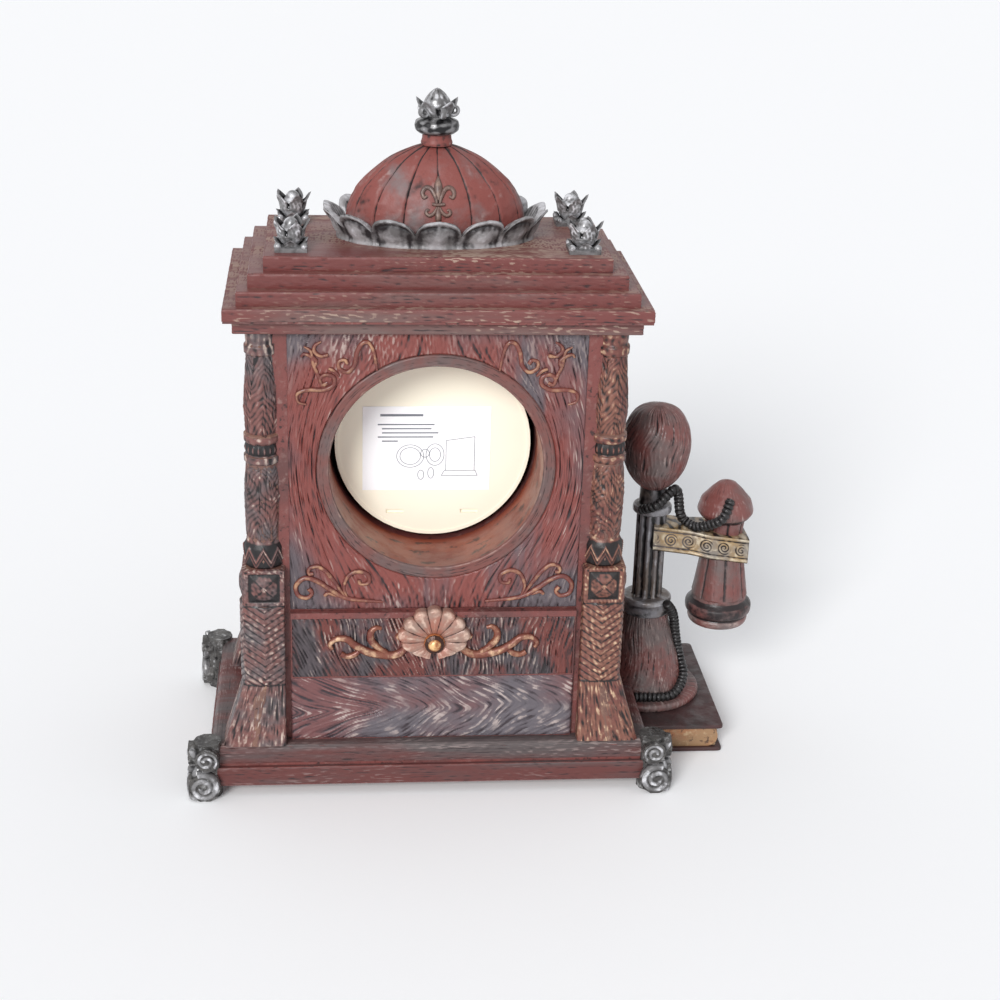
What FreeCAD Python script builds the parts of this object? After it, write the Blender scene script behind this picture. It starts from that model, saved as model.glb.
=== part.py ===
import FreeCAD, Part
import math
import os

# A domed mantel clock in cast resin, with a telephone on a book at its side.
# Millimetres. X runs to the right as the dial is seen, Y to the rear, Z up.
# The sizes are measured from the middle of the case and from the table. At the end everything
# is moved together, so that the origin lies under the middle of the whole object.

vector = FreeCAD.Vector
full_turn = 360
half_turn = 180
quarter_turn = 90
overrun = 2.0  # how far every cutting tool runs past the face that it opens
seat_gap = 0.3  # between a part and a neighbour that it only stands beside
glue_gap = 0.05  # between two round faces that are pressed together
flat_limit = 0.00000001  # how far a corner may lie off a flat facet

# Plinth
plinth_side = 23.0  # from the case's side wall to the end of the upper slab
plinth_rear = 43.5  # from the middle of the case to the rear edge of the upper slab
plinth_front = 56.0
plinth_lift = 5.0  # the feet hold the plinth this far over the table
lower_slab_height = 8.2
upper_slab_height = 9.0
lower_slab_proud = 1.5
slab_nose = 2.6  # rounding of the slabs' long edges

# Case
case_width = 132.0
case_depth = 74.0
case_height = 171.8
case_wall = 8.0
bore_radius = 41.35
bore_drop = 54.85  # from the case's top to the middle of the bore
bore_collar = 4.45
skirting_share = 0.373  # of the height from the plinth to the bore, as the next shares too
skirting_proud = 1.5
rail_share = 0.7249
rail_height = 2.5
rail_proud = 3.4
panel_half = 56.6  # the wall that shows between two columns
panel_proud = 2.0

# Scallop shell on each drawer panel
knob_rise_share = 0.5926  # of the same height
shell_reach = 14.6
shell_ribs = 9
shell_rib_angle = 27
shell_hinge_height = 2.6
shell_rim_height = 4.2
shell_valley_share = 0.92  # of the reach, between two ribs
shell_groove_share = 0.5  # of the rim's height, between two ribs
knob_radius = 3.9
knob_length = 6.4
knob_sides = 12

# Columns, engaged in the four corners of the case
column_out = 0.7  # the axis stands this far outside the side wall
column_in = 3.0  # and this far inside the front or rear wall
shaft_radius = 6.3
shaft_sides = 12
shaft_shares = (
    (1.12, 0), (1.2, 0.035), (1.03, 0.11), (1.1, 0.3), (1, 0.452), (1.09, 0.457), (1.09, 0.483),
    (0.94, 0.487), (0.94, 0.538), (1.1, 0.543), (1.1, 0.572), (0.86, 0.582), (1, 0.7), (0.8, 0.9),
    (0.97, 0.908), (0.97, 0.942), (0.84, 0.952), (0.9, 1),
)
block_width = 16.0
block_height = 15.1
block_rise_share = 0.8148  # of the same height
boss_width = 10.6
boss_height = 1.6
boss_table = 4.0
prism_half = 7.7
prism_ridge = 1.8
foot_rise_share = 0.3598  # of the same height
foot_flare_side = 16.3
foot_flare_face = 9.3

# Scroll feet under the plinth's corners
claw_post = 5.6
claw_back = 3.6  # from the slab's edge to the foot's axis
claw_height = 24.0
claw_curl = 6.4
claw_curl_rise = 6.2
claw_curl_out = 1.2
claw_tip = 4.9
claw_tip_rise = 18.6
claw_reach = 7.6
claw_depth = 4.6
claw_sides = 10

# Roof
mould_side = 10.4  # outside the walls, as the next lengths too
mould_face = 3.6
mould_height = 4.8
cornice_side = 13.9
cornice_face = 6.9
cornice_height = 5.7
step_height = 5.6
step_in_width = (5.1, 9.3, 15.0)  # how far each step stands back from the cornice
step_in_depth = (3.2, 7.7, 11.6)

# Dome
dome_half_width = 34.7
dome_half_depth = 18.6
dome_height = 35.9
dome_gores = 16
dome_groove = 0.9
dome_rise_shares = (0, 0.306, 0.53, 0.708, 0.855, 0.955, 1)
dome_radius_shares = (1, 0.977, 0.876, 0.703, 0.507, 0.288, 0.15)

# Petal gallery round the dome
gallery_half_width = 38.0
gallery_base = 3.2
gallery_gap = 0.3
petal_count = 14
petal_height = 12.0
petal_thick = 1.9
petal_lean = 27
petal_overlap = 1.3  # the width of a petal over the room it has
petal_shares = ((-0.5, 0), (-0.5, 0.36), (-0.4, 0.7), (0, 1), (0.4, 0.7), (0.5, 0.36), (0.5, 0))

# Finials
finial_radius = 8.25
finial_height = 21.0
finial_sides = 16
finial_shares = (
    (0.73, 0), (0.73, 0.2), (0.66, 0.24), (1, 0.31), (1, 0.41), (0.64, 0.47),
    (0.92, 0.56), (0.94, 0.66), (0.6, 0.84), (0.14, 1),
)
lotus_out = 55.0
lotus_back = 22.0
lotus_radius = 7.4
lotus_height = 14.0
lotus_petals = 7
lotus_base_half = 6.2
lotus_base_height = 2.6
lotus_level_shares = ((0, 0.62, 0.62), (0.22, 0.7, 0.66), (0.5, 1, 0.7), (0.76, 0.74, 0.6), (1, 0.16, 0.12))

# Book
book_width = 35.6
book_rear = 15.5
book_front = 63.0
book_height = 12.5
board = 1.7
page_inset = 1.8

# Telephone
phone_in = 5.5  # from the book's inner side to the telephone's axis
phone_front = 21.0
disc_radius = 25.0
disc_height = 3.2
bell_radius = 19.0
bell_height = 35.0
bell_shares = ((1, 0), (0.97, 0.06), (0.84, 0.3), (0.66, 0.62), (0.52, 0.87), (0.48, 1))
collar_radius = 10.4
collar_height = 7.4
stem_radius = 6.0
stem_height = 39.0
stem_flutes = 10
flute_depth = 0.7
stem_cap_radius = 8.2
stem_cap_height = 3.4
neck_radius = 5.6
neck_height = 11.4
egg_radius = 14.2
egg_height = 37.0
egg_shares = (
    (0.4, 0), (0.66, 0.1), (0.88, 0.25), (0.99, 0.42), (1, 0.58), (0.9, 0.76), (0.63, 0.92), (0.24, 1),
)
mouth_rise = 13.0
mouth_reach = 25.0
mouth_throat = 4.8
mouth_lip = 9.4
mouth_wall = 1.6
mouth_horn_share = 0.34
arm_rise = 69.4  # from the book's top to the arm's lower edge at the stem
arm_height = 11.0
arm_drop = 5.6
arm_half_depth = 7.4
arm_end = 9.3  # past the receiver's axis
receiver_gap = 31.6  # from the telephone's axis
receiver_front = 20.4
receiver_lift = 45.8
receiver_radius = 14.2
receiver_height = 65.4
receiver_shares = (
    (0.86, 0), (0.91, 0.045), (0.85, 0.065), (1, 0.09), (1, 0.14), (0.84, 0.18), (0.7, 0.36),
    (0.58, 0.55), (0.53, 0.66), (0.57, 0.73), (0.74, 0.76), (0.83, 0.8), (0.75, 0.87), (0.46, 0.94),
    (0.25, 1),
)

phone_sides = 24
egg_sides = 18
receiver_sides = 16
mouth_sides = 16

# Ribbed cords cast onto the telephone
cord_radius = 2.1
cord_valley_share = 0.72
cord_sides = 6
cord_pitch = 3.6
cord_start_angle = -18  # round the telephone, from the rear toward the side away from the case
cord_lift_angle = 28
cord_climb_angle = 62
cord_side_angle = 78
cord_collar_angle = 34
neck_start_angle = -52
cord_low_shares = (0.86, 0.36)  # on the bell: of its radius and of its height
cord_high_shares = (0.74, 0.62)
cap_shares = (0.83, 0.8)  # on the receiver's cap, the same way
cap_top_shares = (0.58, 0.92)

# Clock insert
insert_sides = 48
bezel_radius = 48.2
bezel_depth = 6.4
bezel_opening = 37.0
drum_radius = 39.1
drum_wall = 1.5
drum_front = 2.2  # how far the drum stands out of the case inside the bezel
drum_length = 46.9
lens_thick = 2.0
hand_room = 9.6
dial_thick = 0.8
dial_play = 0.1
ring_play = 0.1  # between the rubber ring and the bore
ring_start = 4.0
ring_length = 9.0
cover_thick = 2.0
cover_spigot = 4.0
cover_play = 0.1
latch_width = 7.0
latch_height = 1.6
latch_drop = 29.0
latch_out = 15.0
label_width = 51.0
label_height = 35.5
label_thick = 0.2
label_out = 2.5
label_drop = 2.0

# Movement housing
drum_gap = 0.262  # between the drum and the tray's corners
tray_top_gap = 2.2  # over the stator
tray_corner = 2.8
tray_wall = 1.2
tray_front_wall = 1.4
tray_depth = 13.6
bay_depth = 17.2
bay_wall = 0.9
cell_radius = 7.25
contact_thick = 0.7
cell_cap_radius = 2.6
cell_cap_length = 1.3
cell_play = 0.25
cell_sides = 24
contact_width = 8.0
lid_thick = 1.2
pivot_depth = 0.8  # of the blind holes that carry the arbors in the front wall
boss_radius = 4.0
boss_length = 6.0
nut_width = 11.0
nut_thick = 2.0

# Arbors, nested on the dial's axis, and their running clearance
run_play = 0.06
second_arbor_radius = 0.5
centre_tube_wall = 0.42
cannon_tube_wall = 0.5
hour_tube_wall = 0.6
pivot_radius = 0.45
knob_shaft_radius = 1.1

# Train: teeth, and the distances between arbors
centre_teeth = 48
third_pinion_teeth = 6
third_teeth = 45
second_pinion_teeth = 6
going_distance = 8.3
third_direction = 50
second_teeth = 36
reduction_pinion_teeth = 6
reduction_distance = 8.4
reduction_direction = 125
reduction_teeth = 30
rotor_pinion_teeth = 6
rotor_distance = 6.5
rotor_direction = 125
cannon_teeth = 10
motion_teeth = 30
motion_pinion_teeth = 8
hour_teeth = 32
motion_distance = 9.0
motion_direction = 180
addendum_share = 0.6
dedendum_share = 1.2

# Levels in the movement, from its front face to the rear
hour_wheel_level = 1.7
motion_level = 3.1
centre_level = 6.0
third_level = 7.6
second_level = 9.2
reduction_level = 10.9
wheel_thick = 1.0
pinion_overhang = 0.15  # a pinion is this much longer than its wheel at each end
rotor_radius = 3.2
rotor_level = 7.0
rotor_length = 3.4
stator_level = 8.7
stator_thick = 0.7
stator_play = 0.35
stator_rim = 1.2
stator_side_gap = 4.25
stator_crown = 0.4  # over the coil
stator_leg = 3.0
coil_radius = 3.2
coil_sides = 16
coil_gap = 0.845  # over the stator's ring
board_width = 14.0
board_height = 30.0
board_thick = 0.9
board_side_gap = 1.8
board_top_gap = 2.8
chip_half = 3.0
chip_thick = 1.2

# Hands and knob
hand_thick = 0.5
hand_hub_wall = 1.3
hub_sides = 16
hour_hand_length = 19.5
hour_hand_width = 4.6
hour_hand_angle = 305
minute_hand_length = 29.0
minute_hand_width = 3.6
minute_hand_angle = 60
second_hand_length = 31.0
second_hand_tail = 9.0
second_hand_width = 0.9
hand_step = 1.3  # from one hand to the next
hand_shares = ((0.3, 0), (0.3, 0.45), (1, 0.66), (0.25, 0.86), (0, 1))
knob_radius_rear = 5.0
knob_reach = 6.5
knob_thick = 3.0
knob_ridges = 12
knob_ridge = 0.5

# Places that follow from the sizes
plinth_top = plinth_lift + lower_slab_height + upper_slab_height
case_top = plinth_top + case_height
bore_rise = case_height - bore_drop
under_bore = bore_rise - bore_radius
skirting_height = under_bore * skirting_share
rail_rise = under_bore * rail_share
shell_rise = under_bore * knob_rise_share
block_rise = under_bore * block_rise_share
foot_rise = under_bore * foot_rise_share
bore_height = plinth_top + bore_rise
half_width = case_width / 2
half_depth = case_depth / 2
plinth_width = case_width + 2 * plinth_side
mould_half_width = half_width + mould_side
mould_half_depth = half_depth + mould_face
cornice_half_width = half_width + cornice_side
cornice_half_depth = half_depth + cornice_face
column_x = half_width + column_out
column_y = half_depth - column_in
cornice_base = case_top + mould_height
roof_base = cornice_base + cornice_height
roof_top = roof_base + len(step_in_width) * step_height
phone_y = -phone_front
book_side = -(plinth_width / 2 + lower_slab_proud)
phone_x = book_side - phone_in
bell_base = book_height + disc_height
collar_base = bell_base + bell_height
stem_base = collar_base + collar_height
stem_top = stem_base + stem_height
neck_top = stem_top + neck_height
receiver_x = phone_x - receiver_gap
receiver_y = -receiver_front

# Places in the insert, along Y
case_face = -half_depth
drum_mouth = case_face - drum_front
lens_back = drum_mouth
dial_face = lens_back + hand_room
movement_face = dial_face + dial_thick
drum_end = drum_mouth + drum_length
cover_face = drum_end + cover_thick
centre_bore = second_arbor_radius + run_play
centre_tube = centre_bore + centre_tube_wall
cannon_bore = centre_tube + run_play
cannon_tube = cannon_bore + cannon_tube_wall
hour_bore = cannon_tube + run_play
hour_tube = hour_bore + hour_tube_wall
boss_bore = hour_tube + run_play
boss_end = movement_face - boss_length
hour_hand_back = boss_end - seat_gap
minute_hand_back = hour_hand_back - hand_step
second_hand_back = minute_hand_back - hand_step
lid_face = movement_face + tray_depth - lid_thick

# Places round the stator, over the dial's axis, and the housing that they fill
rotor_rise = (reduction_distance * math.sin(math.radians(reduction_direction))
              + rotor_distance * math.sin(math.radians(rotor_direction)))
coil_rise = rotor_rise + rotor_radius + stator_play + stator_rim + coil_gap + coil_radius
stator_top = coil_rise + coil_radius + stator_crown
tray_height = 2 * (stator_top + tray_top_gap + tray_wall)
drum_room = drum_radius - drum_wall - drum_gap
tray_width = 2 * (tray_corner + math.sqrt(drum_room ** 2 - (tray_height / 2) ** 2))
board_rise = tray_height / 2 - tray_wall - board_top_gap - board_height / 2
board_out = tray_width / 2 - tray_wall - board_side_gap - board_width / 2
cell_length = tray_width - 2 * (tray_wall + contact_thick + cell_cap_length)


def write(name, shape):
    """Keep a finished piece under its name."""
    pieces[name] = shape


def block(x0, x1, y0, y1, z0, z1):
    """A box between two corners."""
    return Part.makeBox(x1 - x0, y1 - y0, z1 - z0, vector(x0, y0, z0))


def slab(half_x, half_y, z0, height, x=0, y=0):
    """A box round a vertical axis."""
    return block(x - half_x, x + half_x, y - half_y, y + half_y, z0, z0 + height)


def polygon(points):
    return Part.makePolygon(points + points[:1])


def upright(points, z0, height):
    """A plan outline raised into a prism."""
    face = Part.Face(polygon([vector(x, y, z0) for x, y in points]))
    return face.extrude(vector(0, 0, height))


def across(points, y0, depth):
    """A front outline of (x, z) points, carried to the rear."""
    face = Part.Face(polygon([vector(x, y0, z) for x, z in points]))
    return face.extrude(vector(0, depth, 0))


def facet(points):
    """One flat face, or two where four corners don't lie in a plane."""
    if len(points) == 4:
        first, second, third = (point - points[0] for point in points[1:])
        normal = first.cross(second)
        if abs(normal.dot(third)) > flat_limit * normal.Length:
            return [Part.Face(polygon(points[:3])), Part.Face(polygon([points[0], points[2], points[3]]))]
    return [Part.Face(polygon(points))]


def skin(rings, hollow=False):
    """A closed solid of flat facets over rings of points.

    It has a flat cap at each end, or goes from the last ring back to the first where it is hollow.
    """
    faces = [] if hollow else [Part.Face(polygon(rings[0])), Part.Face(polygon(rings[-1]))]
    following = rings[1:] + rings[:1] if hollow else rings[1:]
    for low, high in zip(rings, following):
        for index in range(len(low)):
            after = (index + 1) % len(low)
            faces += facet([low[index], low[after], high[after], high[index]])
    solid = Part.Solid(Part.Shell(faces))
    if solid.Volume < 0:
        solid.reverse()
    return solid


def cast(profile, sides, x=0, y=0, base=0):
    """A (radius, height) profile carried round a vertical axis in flat facets, as the casting has it."""
    rings = []
    for radius, height in profile:
        ring = ring_points(sides, (radius,), base + height)
        rings.append([point + vector(x, y, 0) for point in ring])
    return skin(rings)


def cast_rear(profile, sides, x=0, z=0):
    """The same round an axis that runs to the rear."""
    solid = cast(profile, sides)
    solid.rotate(vector(0, 0, 0), vector(1, 0, 0), -quarter_turn)
    solid.translate(vector(x, 0, z))
    return solid


def hoop(profile):
    """A closed (radius, y) profile carried round the dial's axis in fine flat facets."""
    rings = []
    for radius, y in profile:
        ring = ring_points(insert_sides, (radius,), 0)
        rings.append([vector(point.x, y, bore_height + point.y) for point in ring])
    return skin(rings, True)


def straight_hoop(outer, inner, y0, y1):
    return hoop([(outer, y0), (outer, y1), (inner, y1), (inner, y0)])


def rod(radius, y0, y1, x=0, z=0):
    """A round bar along Y."""
    return Part.makeCylinder(radius, y1 - y0, vector(x, y0, z), vector(0, 1, 0))


def scaled(shares, radius, height, base=0):
    """A profile of shares in real sizes."""
    return [(share * radius, base + rise * height) for share, rise in shares]


def ring_points(count, radii, z, squash=1):
    """Points round an ellipse, taking the radii in turn."""
    points = []
    for index in range(count):
        angle = math.tau * index / count
        radius = radii[index % len(radii)]
        points.append(vector(radius * math.cos(angle), squash * radius * math.sin(angle), z))
    return points


def fuse(shapes):
    return shapes[0].multiFuse(shapes[1:]).removeSplitter()


def polar(distance, degrees):
    return distance * math.cos(math.radians(degrees)), distance * math.sin(math.radians(degrees))


def mirrored_to_front(shape):
    return shape.mirror(vector(0, 0, 0), vector(0, 1, 0))


def build_plinth():
    lower = block(
        -plinth_width / 2 - lower_slab_proud, plinth_width / 2 + lower_slab_proud,
        -plinth_front - lower_slab_proud, plinth_rear + lower_slab_proud,
        plinth_lift, plinth_lift + lower_slab_height,
    )
    upper = block(
        -plinth_width / 2, plinth_width / 2, -plinth_front, plinth_rear,
        plinth_lift + lower_slab_height, plinth_top,
    )
    edges = [
        edge for edge in upper.Edges
        if edge.BoundBox.ZMin > plinth_top - seat_gap
    ]
    return lower.fuse(upper.makeFillet(slab_nose, edges)).removeSplitter()


def build_case():
    shell = slab(half_width, half_depth, plinth_top, case_height)
    inside_x = half_width - case_wall
    inside_y = half_depth - case_wall
    shell = shell.cut(slab(inside_x, inside_y, plinth_top - overrun, case_height + 2 * overrun))
    collar = rod(bore_radius + bore_collar, -half_depth, half_depth, 0, bore_height)
    bands = []
    for side in (-1, 1):
        for proud, rise, height in (
            (skirting_proud, 0, skirting_height),
            (rail_proud, rail_rise, rail_height),
        ):
            inner = side * (half_depth - case_wall / 2)
            outer = side * (half_depth + proud)
            bands.append(block(
                -panel_half, panel_half, min(inner, outer), max(inner, outer),
                plinth_top + rise, plinth_top + rise + height,
            ))
    shell = fuse([shell, collar] + bands)
    return shell.cut(rod(bore_radius, -half_depth - overrun, half_depth + overrun, 0, bore_height))


def column_section(half, ridge, flare_side=0, flare_face=0):
    """A square with a ridge down its two outer faces, for the corner at +X and +Y."""
    side = half + flare_side
    face = half + flare_face
    return [
        (-half, -half), (side, -half), (side + ridge, (face - half) / 2), (side, face),
        ((side - half) / 2, face + ridge), (-half, face),
    ]


def pyramid_boss(x, y, z, turned_to_side):
    """A low square pyramid with a flat top, standing out of the block's face."""
    wide = boss_width / 2
    small = boss_table / 2
    rings = []
    for half, out in ((wide, 0), (small, boss_height)):
        corners = [(-half, -half), (half, -half), (half, half), (-half, half)]
        if turned_to_side:
            rings.append([vector(x + out, y + a, z + b) for a, b in corners])
        else:
            rings.append([vector(x + a, y + out, z + b) for a, b in corners])
    return skin(rings)


def build_column():
    """The corner column at +X and +Y. The others are its mirror images."""
    block_base = plinth_top + block_rise
    shaft_base = block_base + block_height
    shaft_height = case_top - shaft_base
    profile = scaled(shaft_shares, shaft_radius, shaft_height)
    shaft = cast(profile, shaft_sides, column_x, column_y, shaft_base)
    square = slab(block_width / 2, block_width / 2, block_base, block_height, column_x, column_y)
    middle = block_base + block_height / 2
    bosses = [
        pyramid_boss(column_x + block_width / 2, column_y, middle, True),
        pyramid_boss(column_x, column_y + block_width / 2, middle, False),
    ]
    prism_base = plinth_top + foot_rise
    section = [
        (column_x + x, column_y + y) for x, y in column_section(prism_half, prism_ridge)
    ]
    prism = upright(section, prism_base, block_base - prism_base)
    spread = column_section(
        prism_half, prism_ridge / 2, foot_flare_side - prism_half, foot_flare_face - prism_half,
    )
    foot = skin([
        [vector(column_x + x, column_y + y, plinth_top) for x, y in spread],
        [vector(x, y, prism_base) for x, y in section],
    ])
    whole = fuse([shaft, square] + bosses + [prism, foot])
    room = slab(half_width, half_depth, plinth_top - overrun, case_height + 2 * overrun)
    reveal = block(0, panel_half + seat_gap, 0, 2 * half_depth, 0, case_top + overrun)
    return whole.cut(room).cut(reveal)


def build_claw():
    """The scroll foot at +X and +Y: a post with a large and a small curl on each outer face."""
    x = plinth_width / 2 + lower_slab_proud
    y = plinth_rear + lower_slab_proud - claw_back
    parts = [cast([(claw_post, 0), (claw_post, claw_height)], claw_sides, x, y)]
    for radius, rise, out in ((claw_curl, claw_curl_rise, claw_curl_out), (claw_tip, claw_tip_rise, 0)):
        back = y + claw_reach - claw_depth
        curl = cast_rear([(radius, back), (radius, y + claw_reach)], claw_sides, x + out, rise)
        side_curl = curl.copy()
        side_curl.rotate(vector(x, y, rise), vector(1, 1, 0), half_turn)
        parts += [curl, side_curl]
    return fuse(parts)


def build_feet():
    """Four scroll feet, cut to the plinth and flat where they stand."""
    rear = build_claw()
    front = mirrored_to_front(rear)
    front.translate(vector(0, plinth_rear - plinth_front, 0))
    ground = slab(case_width, case_width, -claw_curl, claw_curl)
    for end, claw in (("rear", rear), ("front", front)):
        seated = claw.cut(pieces["base_plinth"]).cut(ground)
        write("foot_" + end + "_right", seated)
        write("foot_" + end + "_left", seated.mirror(vector(0, 0, 0), vector(1, 0, 0)))


def build_roof():
    write("cornice", fuse([
        slab(mould_half_width, mould_half_depth, case_top, mould_height),
        slab(cornice_half_width, cornice_half_depth, cornice_base, cornice_height),
    ]))
    steps = []
    for index, (in_width, in_depth) in enumerate(zip(step_in_width, step_in_depth)):
        steps.append(slab(
            cornice_half_width - in_width, cornice_half_depth - in_depth,
            roof_base + index * step_height, step_height,
        ))
    write("roof_steps", fuse(steps))


def build_dome():
    squash = dome_half_depth / dome_half_width
    rings = []
    for rise, share in zip(dome_rise_shares, dome_radius_shares):
        crest = share * dome_half_width
        valley = crest - dome_groove * share
        z = roof_top + rise * dome_height
        rings.append(ring_points(2 * dome_gores, (valley, crest), z, squash))
    return skin(rings)


def oval(half_x, half_y, z0, height):
    """An upright prism on an ellipse, with two sides to each petal."""
    rings = [ring_points(2 * petal_count, (half_x,), z, half_y / half_x) for z in (z0, z0 + height)]
    return skin(rings)


def build_gallery():
    wall = gallery_half_width - dome_half_width - gallery_gap
    inner_x = dome_half_width + gallery_gap
    inner_y = dome_half_depth + gallery_gap
    ring = oval(inner_x + wall, inner_y + wall, roof_top, gallery_base)
    petals = [ring]
    step = math.tau / petal_count
    for index in range(petal_count):
        angle = math.tau / 4 + index * step
        x = (inner_x + wall) * math.cos(angle)
        y = (inner_y + wall) * math.sin(angle)
        slope_x = -(inner_x + wall) * math.sin(angle)
        slope_y = (inner_y + wall) * math.cos(angle)
        width = step * math.hypot(slope_x, slope_y) * petal_overlap
        outline = [vector(a * width, 0, b * petal_height) for a, b in petal_shares]
        petal = Part.Face(polygon(outline)).extrude(vector(0, petal_thick, 0))
        petal.rotate(vector(0, 0, 0), vector(1, 0, 0), petal_lean)
        petal.rotate(vector(0, 0, 0), vector(0, 0, 1), math.degrees(math.atan2(slope_y, slope_x)))
        petal.translate(vector(x, y, roof_top))
        petals.append(petal)
    whole = fuse(petals)
    under = slab(cornice_half_width, cornice_half_depth, roof_top - petal_height, petal_height)
    core = oval(inner_x, inner_y, roof_top - overrun, petal_height + 2 * overrun)
    return whole.cut(core).cut(under)


def build_lotus(x, y):
    foot = slab(lotus_base_half, lotus_base_half, roof_top, lotus_base_height, x, y)
    rings = []
    for rise, tip, valley in lotus_level_shares:
        z = roof_top + lotus_base_height + rise * (lotus_height - lotus_base_height)
        points = ring_points(2 * lotus_petals, (tip * lotus_radius, valley * lotus_radius), z)
        rings.append([point + vector(x, y, 0) for point in points])
    return foot.fuse(skin(rings)).removeSplitter()


def build_shell():
    """A scallop whose ribs fan out from the hinge to a waved rim, lying on the rear drawer panel."""
    face = half_depth + panel_proud
    middle = plinth_top + shell_rise
    sweep = shell_ribs * shell_rib_angle
    foot, rim, hinge = [], [], []
    for index in range(2 * shell_ribs + 1):
        angle = quarter_turn - sweep / 2 + index * shell_rib_angle / 2
        reach, height = shell_reach, shell_rim_height
        if index % 2 == 0:
            reach *= shell_valley_share
            height *= shell_groove_share
        x, z = polar(reach, angle)
        foot.append(vector(x, face, middle + z))
        rim.append(vector(x, face + height, middle + z))
        x, z = polar(knob_radius, angle)
        hinge.append(vector(x, face + shell_hinge_height, middle + z))
    pin = cast_rear(
        [(knob_radius / 2, face - overrun), (knob_radius / 2, face + knob_length)], knob_sides, 0, middle,
    )
    return skin([foot, rim, hinge]).cut(pieces["case_shell"]).cut(pin)


def build_knob():
    """The round knob on a shell, with the pin that carries it."""
    face = half_depth + panel_proud
    pin = knob_radius / 2
    crown = face + shell_rim_height
    return cast_rear(
        [
            (pin, face), (pin, crown), (knob_radius, crown),
            (knob_radius, crown + (knob_length - shell_rim_height) / 2), (pin, face + knob_length),
        ],
        knob_sides, 0, plinth_top + shell_rise,
    )


def build_wall_trim():
    panel_base = plinth_top + skirting_height
    panel_height = rail_rise - skirting_height
    panel = block(-panel_half, panel_half, half_depth, half_depth + panel_proud, panel_base,
                  panel_base + panel_height)
    shell = build_shell()
    knob = build_knob()
    for name, shape in (("drawer_panel", panel), ("shell", shell)):
        write(name + "_rear", shape)
        write(name + "_front", mirrored_to_front(shape))
    write("shell_knobs", Part.makeCompound([knob, mirrored_to_front(knob)]))


def build_book():
    """Two boards and a rounded spine, with the page block between them."""
    outer = book_side - book_width
    middle_z = book_height / 2
    start = book_side - overrun
    hinge = outer + middle_z

    def jacket(inset, reach):
        low = inset
        high = book_height - inset
        bulge = vector(outer + inset, 0, middle_z)
        wire = Part.Wire([
            Part.LineSegment(vector(reach, 0, high), vector(reach, 0, low)).toShape(),
            Part.LineSegment(vector(reach, 0, low), vector(hinge, 0, low)).toShape(),
            Part.Arc(vector(hinge, 0, low), bulge, vector(hinge, 0, high)).toShape(),
            Part.LineSegment(vector(hinge, 0, high), vector(reach, 0, high)).toShape(),
        ])
        return Part.Face(wire)

    length = book_front + book_rear
    cover = jacket(0, book_side).extrude(vector(0, length, 0))
    cover.translate(vector(0, -book_front, 0))
    room = jacket(board, book_side + overrun).extrude(vector(0, length + 2 * overrun, 0))
    room.translate(vector(0, -book_front - overrun, 0))
    write("book_cover", cover.cut(room))
    pages = jacket(board, start + overrun).extrude(vector(0, length - 2 * page_inset, 0))
    pages.translate(vector(0, page_inset - book_front, 0))
    write("book_pages", pages)
    foot = pieces["foot_front_left"]
    write("foot_front_left", foot.cut(pieces["book_cover"]).cut(pages))


def build_telephone():
    foot = cast(
        [(disc_radius, book_height), (disc_radius, book_height + disc_height * 2 / 3),
         (disc_radius - disc_height, bell_base)]
        + scaled(bell_shares, bell_radius, bell_height, bell_base)
        + [(collar_radius, collar_base), (collar_radius, stem_base)],
        phone_sides, phone_x, phone_y,
    )
    write("telephone_base", foot.cut(pieces["base_plinth"]).cut(pieces["column_front_left"]))

    radii = (stem_radius, stem_radius - flute_depth)
    flutes = [(point.x + phone_x, point.y + phone_y) for point in ring_points(2 * stem_flutes, radii, 0)]
    stem = upright(flutes, stem_base, stem_height)
    cap = cast(
        [(stem_cap_radius, stem_top - stem_cap_height), (stem_cap_radius, stem_top)],
        egg_sides, phone_x, phone_y,
    )
    neck = cast([(neck_radius, stem_top), (neck_radius, neck_top)], egg_sides, phone_x, phone_y)
    write("telephone_stem", fuse([stem, cap, neck]))

    egg = cast(scaled(egg_shares, egg_radius, egg_height, neck_top), egg_sides, phone_x, phone_y)
    write("transmitter_shell", egg)
    lip_y = phone_y - mouth_reach
    horn_y = lip_y + mouth_reach * mouth_horn_share
    inner = mouth_lip - mouth_wall
    place = (phone_x, neck_top + mouth_rise)
    mouth = cast_rear(
        [(mouth_lip, lip_y), (mouth_throat, horn_y), (mouth_throat, phone_y)], mouth_sides, *place,
    )
    hollow = cast_rear(
        [(inner, lip_y - overrun), (inner, lip_y), (mouth_throat - mouth_wall, horn_y)], mouth_sides, *place,
    )
    write("mouthpiece", mouth.cut(hollow).cut(egg))

    receiver = cast(
        scaled(receiver_shares, receiver_radius, receiver_height, receiver_lift), receiver_sides,
        receiver_x, receiver_y,
    )
    write("receiver", receiver)
    low = book_height + arm_rise
    tip_x = receiver_x - arm_end
    arm = across(
        [(phone_x, low), (tip_x, low - arm_drop), (tip_x, low - arm_drop + arm_height),
         (phone_x, low + arm_height)],
        phone_y - arm_half_depth, 2 * arm_half_depth,
    )
    write("receiver_arm", arm.cut(pieces["telephone_stem"]).cut(receiver))


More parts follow.
